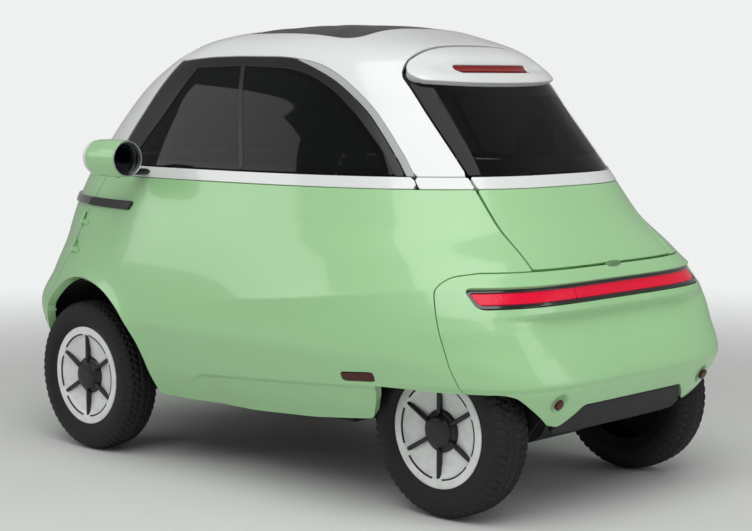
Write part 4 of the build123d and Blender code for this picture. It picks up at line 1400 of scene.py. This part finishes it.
# ---------------------------------------------------------------- wheels
@dataclass
class WheelSet:
    """Four tyres on dished covers with slim dark spokes."""

    axle_z: float = 0.2666
    front_x: float = 0.683
    rear_x: float = -0.883
    front_y: float = 0.597
    rear_y: float = 0.466
    spokes: int = 6
    pitches: int = 60
    pitch_steps: int = 7
    profile_points: int = 54
    tread_depth: float = 6.5
    rib_depth: float = 5.0
    # Painted shade: cover faces nearer the middle than this take dark metal for the shade inside the wheel.
    painted_shade_inside: float = 0.034

    def tyre(self) -> Block:
        """One tyre about the Y axis.

        Formula: the outline is carried round the axis in short steps.  Over the tread the radius drops by
        the deepest of: three grooves round the tyre, slanting cuts between them, and short cuts on the
        shoulders, each a soft-edged band of the angle and of the place across.

        Returns:
            Points and faces.
        """
        half = [(-52, 166.2), (-57, 178), (-71, 200), (-72.5, 216), (-70, 238), (-58, 257), (-42, 264)]
        radii = (1, 30, 30, 40, 30, 14, 60)
        corners = [*half, (0, 266.4), *[(-y, r) for y, r in half[::-1]]]
        profile = soften(corners, (*radii, 300, *radii[::-1]), 6)
        run = np.concatenate([[0], np.cumsum(np.linalg.norm(np.diff(profile, axis=0), axis=1))])
        even = np.linspace(0, run[-1], self.profile_points)
        y, r = np.interp(even, run, profile[:, 0]), np.interp(even, run, profile[:, 1])
        steps = self.pitches * self.pitch_steps
        turn = np.linspace(0, 1, steps, endpoint=False)[:, None] * self.pitches
        across = np.abs(y)[None, :]

        def band(place: Array, middle: float, half: float) -> Array:
            """One inside a band about a middle, falling to nought over its half width."""
            return np.clip(1.6 - np.abs(place - middle) / half, 0, 1)
        grooves = np.maximum(band(across, 13, 2.6), band(across, 38, 2.8)) + 0 * turn
        slant = np.mod(turn + y[None, :] * 0.024 * np.sign(y)[None, :] + 0.5 * (y[None, :] > 0), 1)
        cuts = band(slant, 0.5, 0.09) * (across < 50) * (across > 15)
        fine = band(np.mod(slant * 2, 1), 0.5, 0.12) * (across < 50) * 0.5
        shoulder = band(np.mod(turn * 1.0, 1), 0.5, 0.14) * (across > 50) * (r[None, :] > 236)
        rib = band(np.mod(turn * 2, 1), 0.5, 0.22) * 0.35 * (across > 56) * (r[None, :] > 226)
        crown = np.maximum(grooves * (r > 250)[None, :], cuts)
        drop = self.tread_depth * np.maximum(crown, np.maximum(shoulder * 0.8, fine))
        drop = np.maximum(drop, self.rib_depth * rib)
        ring = 0.8 * np.exp(-((r - 196) / 3.0) ** 2)[None, :] * np.ones_like(turn)
        angle = turn / self.pitches * 2 * np.pi
        radius = (r[None, :] - drop) * MM
        out = (y[None, :] + np.sign(y)[None, :] * ring) * MM
        points = np.stack([radius * np.cos(angle), out * np.ones_like(angle), radius * np.sin(angle)], -1)
        return points, grid_faces(steps, len(y), wrap_rows=True, wrap_columns=True)[:, ::-1]

    def cover(self) -> Block:
        """The white dished cover and its rim about the Y axis, its face towards +Y."""
        corners = [(-52, 165.6), (-52, 160), (28, 160), (32, 62), (22, 54), (22, 2), (36, 2), (36, 60),
                   (37, 66), (41, 100), (48, 134), (54, 143), (58.5, 147), (59, 152), (60, 170), (58.5, 174),
                   (56, 174), (54, 166)]
        profile = soften(corners, (1, 1, 2, 4, 4, 1, 1, 3, 6, 60, 20, 4, 2, 2, 3, 1.2, 1, 1), 5) * MM
        points, faces = lathe(profile, 72)
        return points, faces[:, ::-1]

    def spoke_set(self) -> Block:
        """The slim bars, and the thin arcs between their ends."""
        blocks = []
        for k in range(self.spokes):
            turn = 2 * math.pi * k / self.spokes + math.pi / 2
            points, faces = pillow_box((0.052, 0.038, -0.0068), (0.147, 0.0572, 0.0068), 0.0062, 4)
            blocks.append((self.turned(points, turn), faces))
            arc = np.linspace(turn + 0.14, turn + 2 * math.pi / self.spokes - 0.14, 24)
            path = np.stack([0.1462 * np.cos(arc), np.full(24, 0.0568), 0.1462 * np.sin(arc)], -1)
            blocks.append(tube(path, np.full(24, 0.0032), 8))
        return joined(blocks)

    def turned(self, points: Array, turn: float) -> Array:
        """Points turned about the Y axis."""
        c, s = math.cos(turn), math.sin(turn)
        return points @ np.array([[c, 0, s], [0, 1, 0], [-s, 0, c]])

    def cap(self) -> Block:
        """The dark domed middle and its stepped collar."""
        corners = [(34, 1), (34, 64), (39, 66), (47, 61), (49, 53), (58, 49), (64, 42), (66.5, 25), (67, 1)]
        profile = soften(corners, (0.4, 1, 3, 3, 2, 2, 4, 20, 0.4), 5) * MM
        points, faces = lathe(profile, 72)
        return points, faces[:, ::-1]

    def build(self) -> None:
        """Builds the four wheels."""
        parts = (("tyre", self.tyre(), Finish.TYRE, "tyre"),
                 ("wheel_cover", self.cover(), Finish.COVER, "wheel_cover"),
                 ("wheel_spokes", self.spoke_set(), Finish.SATIN, "black_plastic"),
                 ("wheel_cap", self.cap(), Finish.SATIN, "black_plastic"))
        for end, x, y in (("front", self.front_x, self.front_y), ("rear", self.rear_x, self.rear_y)):
            for side, sign in (("left", 1), ("right", -1)):
                corner = f"{end}_{side}"
                axle = np.array([x, sign * y, self.axle_z])
                nodes = {"tyre": [f"tyre_{corner}"], "wheel_cover": [f"wheel_{corner}"]}
                for name, (points, faces), finish, slot in parts:
                    placed = points.reshape(-1, 3) * np.array([sign, sign, 1]) + axle
                    blocks, finishes, which = [faces], (finish,), [0]
                    # The cover's inner side is painted dark as painted shade for the wheel's shaded inside.
                    if name == "wheel_cover":
                        inner = points.reshape(-1, 3)[faces, 1].mean(1) < self.painted_shade_inside
                        blocks, which = [faces[~inner], faces[inner]], [0, 1]
                        finishes = (finish, Finish.DARK_METAL)
                    piece = weld(as_object(f"{name}_{corner}", placed, blocks, finishes, which), 35)
                    put_on(piece, Body(f"wheel_{corner}"), nodes.get(name, []))


# ---------------------------------------------------------------- pods and bars
@dataclass
class Pod:
    """Barrel on each side that holds a headlamp in front and a mirror behind."""

    rear_x: float = 297
    front_x: float = 475
    out: float = 752
    height: float = 1053

    def spun(self, corners: Sequence[Sequence[float]], radii: Sequence[float], turns: int = 72) -> Block:
        """A profile of x and radius carried round the barrel's own axis, on the left."""
        profile = soften(corners, radii, 6)
        angle = once_round(turns)[:, None]
        along, out = profile[:, 0] + 0 * angle, self.out + profile[:, 1] * np.cos(angle)
        points = np.stack([along, out, self.height + profile[:, 1] * np.sin(angle)], -1) * MM
        return points.reshape(-1, 3), grid_faces(turns, len(profile), wrap_rows=True, wrap_columns=True)

    def build(self) -> None:
        """Builds both pods."""
        rear, front = self.rear_x, self.front_x
        shell = [(rear + 5, 58.6), (rear + 3, 60), (rear + 14, 62), (rear + 80, 64), (front - 36, 61.5),
                 (front - 22, 59.5), (front - 22, 48), (rear + 60, 58.0)]
        ring = [(front - 21, 46), (front - 21, 60), (front - 10, 58.5), (front, 53), (front - 2, 49)]
        lens = [(front - 18, 1), (front - 18, 50), (front - 6, 49.5), (front - 0.5, 26), (front, 1)]
        rim = [(rear + 22, 57), (rear + 2, 60.5), (rear - 0.0, 58.5), (rear + 1.5, 56), (rear + 14, 53)]
        well = [(rear + 44, 1), (rear + 44, 56), (rear + 4, 56.5), (rear + 26, 52), (rear + 30, 1)]
        glass = [(rear + 30, 1), (rear + 30, 49), (rear + 27.5, 49.5), (rear + 26, 1)]
        nodes = ["mirror_pods"]
        kinds = (("pod_shell", shell, (2, 4, 20, 200, 60, 1, 1, 1), Finish.BODY, "body_paint", nodes),
                 ("pod_front_ring", ring, (1, 2, 8, 3, 1), Finish.ROOF, "roof_paint", []),
                 ("pod_lens", lens, (0.4, 2, 12, 40, 0.4), Finish.CLEAR_LENS, "glass", []),
                 ("pod_mirror_rim", rim, (1, 2, 1.5, 1.5, 1), Finish.STEEL, "steel", []),
                 ("pod_mirror_well", well, (0.4, 1, 1, 2, 0.4), Finish.GLOSS, "black_plastic", []),
                 ("pod_mirror_glass", glass, (0.4, 0.6, 1, 0.4), Finish.MIRROR, "glass", []))
        for name, corners, radii, finish, slot, nodes in kinds:
            put_on(solid(name, both_sides(self.spun(corners, radii)), finish, 35), Body.SHELL, nodes)
        self.build_foot()

    def build_foot(self) -> None:
        """The dark arms that carry the pods from the belt."""
        t = np.linspace(0, 1, 16)[:, None]
        angle = once_round(28)[None, :]
        reach = 608 + (self.out - 620) * t
        lift = 1003 + 8 * t * t
        long = 36 + 4 * t
        tall = 11 + 16 * t ** 3
        ends = np.where((t < 1e-6) | (t > 1 - 1e-6), 1e-3, 1.0)
        points = np.stack([380 + long * ends * np.cos(angle), reach * np.ones_like(angle),
                           lift + tall * ends * np.sin(angle)], -1) * MM
        block = both_sides((points.reshape(-1, 3), grid_faces(16, 28, wrap_columns=True)))
        put_on(solid("pod_foot", block, Finish.SATIN, 60), Body.SHELL)


@dataclass
class TrimBars:
    """The bare dark bars at the sides and the lamp bar across the nose."""

    low: float = 874
    high: float = 904

    def build(self) -> None:
        """Builds both side bars and the bar on the door."""
        rear = bar_region([(391, self.high), (412, self.low), (900, self.low), (900, self.high)], (0, 2), 4)
        for side, turns in SIDES:
            bar = Panel(BAR_FACE, rear & -door_side(1), turns, BAR_PLACES, (420, 24), edge=4.0, wall=8.0)
            nodes = ["side_bars"] if side == "left" else []
            bar.fit(f"side_bar_{side}", (Finish.SATIN,), Body.SHELL, "black_plastic", nodes)
        nose = above(self.low).meet(below(self.high), 0.006) & door_side(SEAM)
        bar = Panel(BAR_FACE, nose, (-1.2, 1.2), BAR_PLACES, (220, 16), edge=4.0, wall=8.0)
        bar.fit("front_light_bar_cover", (Finish.GLOSS,), Body.DOOR, "black_plastic", ["front_light_bar"])
        glow = above(884).meet(below(894), 0.004) & half_space((1.02, 0, 0), (1, 0, 0))
        face = raised(SKIN.at, 10.5)
        lit = Panel(face, glow, (-1.2, 1.2), (875, 905), (300, 14), edge=1.5, wall=3.0)
        lit.fit("front_light_strip", (Finish.CLEAR_LENS,), Body.DOOR, "black_plastic")


# ---------------------------------------------------------------- cabin
PAD_VOXEL, HEADREST_VOXEL = 0.0135, 0.0075


@dataclass
class Cabin:
    """Bench, headrests, steering wheel, dash and belts."""

    seat_low: tuple[float, float, float] = (-0.440, -0.515, 0.4103)
    seat_high: tuple[float, float, float] = (0.010, 0.515, 0.560)
    tilt: float = math.radians(14)
    back_foot: tuple[float, float] = (-0.4042, 0.4183)
    channels: tuple[float, float, float] = (-0.26, 0.0, 0.26)

    def crowned(self, size: Sequence[float], crown: float, channels: Sequence[float], across: int = 90,
                along: int = 44) -> Block:
        """A crowned pad about the origin, its sides pulled in between its corners.

        Formula: a rounded-square outline shrinks towards the top and the bottom by the root of one less the
        height's fourth power; the top swells by a product of two arches and sinks by a soft line at each
        sewn channel across the pad.

        Args:
            size: along, across and thickness.
            crown: how much higher the middle is.
            channels: the channels' places across.
            across: points round the outline.
            along: points from the bottom to the top.

        Returns:
            Points and faces.
        """
        turn = once_round(across * 2)[:, None]
        rise = np.linspace(-1, 1, along)[None, :]
        level = np.sign(rise) * (1 - (1 - np.abs(rise)) ** 1.8)
        shrink = np.clip(1 - np.abs(rise) ** 5, 1e-6, 1) ** 0.5
        power = 6.0
        size_of = (np.abs(np.cos(turn)) ** power + np.abs(np.sin(turn)) ** power) ** (-1 / power)
        x = size[0] / 2 * size_of * np.cos(turn) * shrink
        y = size[1] / 2 * size_of * np.sin(turn) * shrink
        arch = (1 - (2 * x / size[0]) ** 2) * (1 - (2 * y / size[1]) ** 4)
        sunk = sum(np.exp(-((y - place) / 0.008) ** 2) for place in channels) + np.zeros_like(y)
        z = size[2] / 2 * level + np.clip(level, 0, 1) * (crown * arch - 0.010 * sunk * (shrink < 0.999))
        return np.stack([x, y, z], -1).reshape(-1, 3), grid_faces(across * 2, along, wrap_rows=True)

    def pad(self, name: str, points: Array, faces: Array, nodes: Sequence[str], fill: float, cap: float,
            voxel: float = PAD_VOXEL) -> None:
        """Finishes one padded piece: remeshed, swollen as cloth, capped, and smoothed.

        Args:
            name: the piece's name.
            points: its starting shape.
            faces: its faces.
            nodes: the CAD nodes that it stands for.
            fill: how tightly it is stuffed; not used.
            cap: how far a point may move.
            voxel: the remesh's cell, in metres.
        """
        piece = solid(name, (points, faces), Finish.SEAT, 60)
        swell(piece, cap, voxel)
        put_on(piece, Body.SHELL, nodes)

    def leaning(self, points: Array, up: float, depth: float, across: float = 0.0) -> Array:
        """Points of a pad, whose thickness is its z, stood up on the leaning backrest.

        Args:
            points: the pad's points, its length along x.
            up: how far the pad's middle is up the backrest.
            depth: how far its middle is behind the backrest's foot line.
            across: its middle's place across the car.

        Returns:
            The placed points.
        """
        c, s = math.cos(self.tilt), math.sin(self.tilt)
        forward, height = points[:, 2] - depth, points[:, 0] + up
        return np.stack([self.back_foot[0] + forward * c - height * s, points[:, 1] + across,
                         self.back_foot[1] + forward * s + height * c], -1)

    def build_seats(self) -> None:
        """The bench's cushion and backrest, and two round headrests on stems."""
        low, high = np.array(self.seat_low), np.array(self.seat_high)
        size = high - low
        points, faces = self.crowned(size - np.array([0.012, 0.02, 0.026]), 0.016, self.channels)
        points = points + (low + high) / 2 + np.array([0, 0, -0.008])
        self.pad("seat_cushion_pad", points, faces, ["seat_cushion"], 0.6, 0.012)
        points, faces = self.crowned((0.50, 0.95, 0.084), 0.012, self.channels)
        self.pad("seat_backrest_pad", self.leaning(points, 0.26, 0.057), faces, ["seat_backrest"], 0.6, 0.012)
        blocks = []
        for side in (-1, 1):
            points, faces = self.round_pad(0.092, 0.068)
            blocks.append((self.leaning(points, 0.716, 0.055, side * 0.245), faces))
        self.pad("headrest_pads", *joined(blocks), ["headrests"], 0.8, 0.006, HEADREST_VOXEL)
        stems = []
        for side in (-1, 1):
            for gap in (-0.032, 0.032):
                path = np.stack([np.linspace(0.50, 0.65, 6), np.full(6, gap), np.zeros(6)], -1)
                stems.append(tube(self.leaning(path, 0.0, 0.055, side * 0.245), np.full(6, 0.0055), 12))
        put_on(solid("headrest_stems", joined(stems), Finish.STEEL), Body.SHELL)

    def round_pad(self, radius: float, thick: float) -> Block:
        """A round pad: an ellipse-like section carried round, flatter over its faces."""
        turn = once_round(56)[:, None]
        rise = np.linspace(-np.pi / 2, np.pi / 2, 27)[None, :]
        flat = np.abs(np.cos(rise)) ** 0.75
        points = np.stack([radius * flat * np.cos(turn), radius * flat * np.sin(turn),
                           thick / 2 * np.sin(rise) * np.ones_like(turn)], -1)
        return points.reshape(-1, 3), grid_faces(56, 27, wrap_rows=True)

    def build_steering(self) -> None:
        """Steering wheel with a grip ring, three spokes and a soft boss."""
        centre, angle = np.array([0.450, 0.270, 0.980]), math.radians(90 - 62)
        ahead = np.array([-math.cos(angle), 0, math.sin(angle)])
        side = np.array([0.0, 1.0, 0.0])
        up = np.cross(ahead, side)
        turn = once_round(96)
        ring = centre + 0.175 * (np.cos(turn)[:, None] * side + np.sin(turn)[:, None] * up)
        blocks = [tube(ring, 0.0125 + 0.0008 * np.cos(turn * 24), 14, closed=True)]
        for spoke in (0.0, math.pi, 1.5 * math.pi):
            t = np.linspace(0.02, 0.17, 12)[:, None]
            way = math.cos(spoke) * side + math.sin(spoke) * up
            path = centre + t * way - ahead * (0.012 * (1 - t / 0.17) ** 2)
            blocks.append(tube(path, np.linspace(0.014, 0.008, 12), 12))
        t = np.linspace(0, 1, 12)[:, None]
        boss = centre - ahead * 0.014 + ahead * 0.027 * t
        blocks.append(tube(boss, 0.040 * np.sqrt(np.clip(1 - (t[:, 0]) ** 4, 0.02, 1)), 36))
        put_on(solid("steering_grip", joined(blocks), Finish.GRAINED, 50), Body.STEERING,
               ["steering_wheel"])

    def build_dash(self) -> None:
        """The bar across the door's inside.

        Formula: a rounded-square section is carried across the car; towards its ends its front face follows
        the door's plan curve, a wall's thickness in, and the last bit is drawn in round.
        """
        _, front, wide, _, half, power, _ = flowing(SKIN.knots(), np.array(SKIN.rows), np.array([880.0]))[0]
        share = np.linspace(-1, 1, 71)[:, None]
        turn = once_round(36)[None, :]
        wall, reach, back, ahead = 34.0, 546.0, 761.0, 849.0
        curve = (1 - ((np.abs(share) * reach + wall) / half) ** power) ** (1 / power)
        face = np.minimum(ahead, wide + (front - wide) * curve - wall * 0.5)
        drawn = np.sqrt(np.clip(1 - np.abs(share) ** 40, 1e-6, 1))
        size = (np.abs(np.cos(turn)) ** 6 + np.abs(np.sin(turn)) ** 6) ** (-1 / 6)
        along = (face + back) / 2 + (face - back) / 2 * size * np.cos(turn) * drawn
        across, height = reach * share * np.ones_like(turn), 840 + 39 * size * np.sin(turn) * drawn
        points = np.stack([along, across, height], -1) * MM
        beam = solid("door_dash_beam", (points, grid_faces(71, 36, wrap_columns=True)), Finish.GRAINED, 50)
        put_on(beam, Body.DOOR, ["door_dash_bar"])

    def build_belts(self) -> None:
        """Two seat belts: flat webbing from the shoulder to the bench, following the backrest."""
        for side, name in ((1, "left"), (-1, "right")):
            t = np.linspace(0, 1, 40)[:, None]
            foot = np.zeros((1, 3))
            start = self.leaning(foot, 0.50, -0.012, side * 0.40)[0]
            end = self.leaning(foot, 0.03, -0.014, side * 0.12)[0]
            middle = start + (end - start) * t + np.array([0.012, 0, 0]) * np.sin(np.pi * t)
            way = (end - start) / np.linalg.norm(end - start)
            face_out = np.array([math.cos(self.tilt), 0, math.sin(self.tilt)])
            wide = np.cross(way, face_out)
            section = np.array([(-0.022, -0.0007), (0.022, -0.0007), (0.022, 0.0007), (-0.022, 0.0007)])
            points = middle[:, None] + section[None, :, :1] * wide + section[None, :, 1:] * face_out
            faces = np.vstack([grid_faces(40, 4, wrap_columns=True), [[3, 2, 1, 0], [156, 157, 158, 159]]])
            put_on(solid(f"seat_belt_{name}", (points, faces), Finish.BELT), Body.SHELL)

    def build(self) -> None:
        """Builds the cabin."""
        self.build_seats()
        self.build_steering()
        self.build_dash()
        self.build_belts()


PRESSURE = 4.0
SWELL_FRAMES = 20


def swell(piece: bpy.types.Object, cap: float, voxel: float) -> None:
    """Swells a pad as cloth under pressure, holds each point within a cap, and smooths it.

    Args:
        piece: the pad, changed in place.
        cap: the furthest that a point may move, in metres.
        voxel: the remesh's cell, in metres.
    """
    scene = bpy.context.scene
    remesh = piece.modifiers.new("voxels", "REMESH")
    remesh.mode, remesh.voxel_size = "VOXEL", voxel
    bpy.context.view_layer.objects.active = piece
    bpy.ops.object.modifier_apply(modifier=remesh.name)
    start = np.empty(len(piece.data.vertices) * 3)
    piece.data.vertices.foreach_get("co", start)
    cloth = piece.modifiers.new("swell", "CLOTH")
    cloth.settings.use_pressure, cloth.settings.uniform_pressure_force = True, PRESSURE
    cloth.settings.effector_weights.gravity = 0.0
    cloth.settings.quality = 4
    cloth.point_cache.frame_end = SWELL_FRAMES
    for step in range(1, SWELL_FRAMES + 1):
        scene.frame_set(step)
    bpy.context.view_layer.update()
    bpy.ops.object.modifier_apply(modifier=cloth.name)
    scene.frame_set(1)
    now = np.empty_like(start)
    piece.data.vertices.foreach_get("co", now)
    move = (now - start).reshape(-1, 3)
    length = np.linalg.norm(move, axis=1, keepdims=True)
    held = start.reshape(-1, 3) + move * np.minimum(1, cap / np.maximum(length, 1e-9))
    piece.data.vertices.foreach_set("co", held.ravel())
    piece.data.polygons.foreach_set("use_smooth", np.ones(len(piece.data.polygons), bool))
    smooth = piece.modifiers.new("smooth", "SUBSURF")
    smooth.levels = smooth.render_levels = 1
    bpy.ops.object.modifier_apply(modifier=smooth.name)


# ---------------------------------------------------------------- running gear
@dataclass
class RunningGear:
    """Finishes for the frame's own plain nodes."""

    def build(self) -> None:
        """Dresses every node that stays in sight."""
        dress = {Finish.CAST: ("drive_unit", "battery_box"),
                 Finish.DARK_METAL: ("front_subframe", "rear_swing_arms", "front_struts", "floor_platform",
                                     "steering_column", "rear_bulkhead"),
                 Finish.STEEL: ("half_shafts", "knuckle_left", "knuckle_right", "hatch_hinge_pins"),
                 Finish.BODY: ("door_hinge_barrels", "door_hinge_pins"),
                 Finish.SATIN: ("hatch_arms",),
                 Finish.LINER: ("front_arch_liners", "rear_arch_liners", "luggage_floor")}
        for finish, names in dress.items():
            for name in names:
                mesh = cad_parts[name].data
                mesh.materials.clear()
                mesh.materials.append(finish.material())


# ---------------------------------------------------------------- studio
BACKDROP = (0.86, 0.88, 0.87)


@dataclass
class Studio:
    """Camera, soft lamps, pale floor and backdrop."""

    eye: tuple[float, float, float] = (-4.273, 4.299, 1.313)
    target: tuple[float, float, float] = (-0.157, 0.036, 0.675)
    lens: float = 82.4
    sensor: float = 36.0
    ambient: float = 0.29
    fade: tuple[float, float] = (2.0, 5.5)

    def aimed(self, data: bpy.types.ID, place: Sequence[float], aim: Sequence[float]) -> bpy.types.Object:
        """A camera or lamp at a place, pointing at another."""
        made = bpy.data.objects.new(data.name, data)
        bpy.context.scene.collection.objects.link(made)
        made.location = place
        made.rotation_euler = (Vector(place) - Vector(aim)).to_track_quat("Z", "Y").to_euler()
        return made

    def lamp(self, name: str, place: Sequence[float], size: float, power: float,
             aim: Sequence[float]) -> None:
        """A square soft lamp that points at a place."""
        data = bpy.data.lights.new(name, "AREA")
        data.size, data.energy = size, power
        self.aimed(data, place, aim)

    def ground(self) -> None:
        """The floor: a wide pale sheet that takes the shadow and runs into the backdrop far off."""
        net = Net(bpy.data.materials.new("studio_floor"))
        cloud = net.noise(1.2, 3.0)
        colour = net.blend(cloud, tint("e4e5e3"), tint("e9eae8"))
        base = net.node("ShaderNodeBsdfPrincipled", {}, {"Base Color": colour, "Roughness": 0.75})
        x, y, _ = net.axes()
        far = (x * x + y * y).maths("POWER", 0.5).ramp(*self.fade)
        seen = net.node("ShaderNodeLightPath", {}, {}, "Is Camera Ray")
        plain = net.node("ShaderNodeEmission", {}, {"Color": (*BACKDROP, 1.0), "Strength": 1.0})
        base = net.node("ShaderNodeMixShader", {}, {0: far * seen, 1: base, 2: plain})
        side = np.linspace(-14, 14, 9)
        x, y = np.meshgrid(side, side, indexing="ij")
        points = np.stack([x, y, np.zeros_like(x)], -1)
        made = as_object("studio_floor", points, [grid_faces(9, 9)], ())
        made.data.materials.append(net.finish(base))

    def world(self) -> None:
        """Even pale surroundings, plain to the camera and through glass; mirrors show the dimmer light."""
        net = Net(bpy.data.worlds.new("studio"))
        light = net.node("ShaderNodeBackground", {}, {"Color": (1, 1, 1, 1), "Strength": self.ambient})
        plain = net.node("ShaderNodeBackground", {}, {"Color": (*BACKDROP, 1), "Strength": 1.0})
        seen = net.node("ShaderNodeLightPath", {}, {}, "Is Camera Ray")
        through = net.node("ShaderNodeLightPath", {}, {}, "Is Transmission Ray")
        both = net.node("ShaderNodeMixShader", {}, {0: seen.maths("MAXIMUM", through), 1: light, 2: plain})
        bpy.context.scene.world = net.finish(both, "ShaderNodeOutputWorld")

    def build(self) -> None:
        """Sets the whole studio up."""
        data = bpy.data.cameras.new("camera")
        data.lens, data.sensor_width = self.lens, self.sensor
        bpy.context.scene.camera = self.aimed(data, self.eye, self.target)
        self.lamp("key", (-2.6, 2.6, 5.8), 6.0, 258, (-0.3, 0, 0.6))
        self.lamp("rear_fill", (-6.5, -2.5, 2.6), 3.0, 45, (0, 0, 0.7))
        self.lamp("front_fill", (4.5, 4.5, 3.0), 3.0, 45, (0, 0, 0.7))
        self.ground()
        self.world()
        bpy.context.scene.view_settings.view_transform = "Standard"


def main() -> None:
    """Builds every sub-assembly in order, then the studio."""
    logging.basicConfig(level=logging.INFO, format="%(name)s: %(message)s")
    for part in (BodyShell, FrontDoor, Hatch, RearBumper, WheelSet, Pod, TrimBars, Cabin, RunningGear,
                 Studio):
        part().build()


if __name__ == "__main__":
    main()
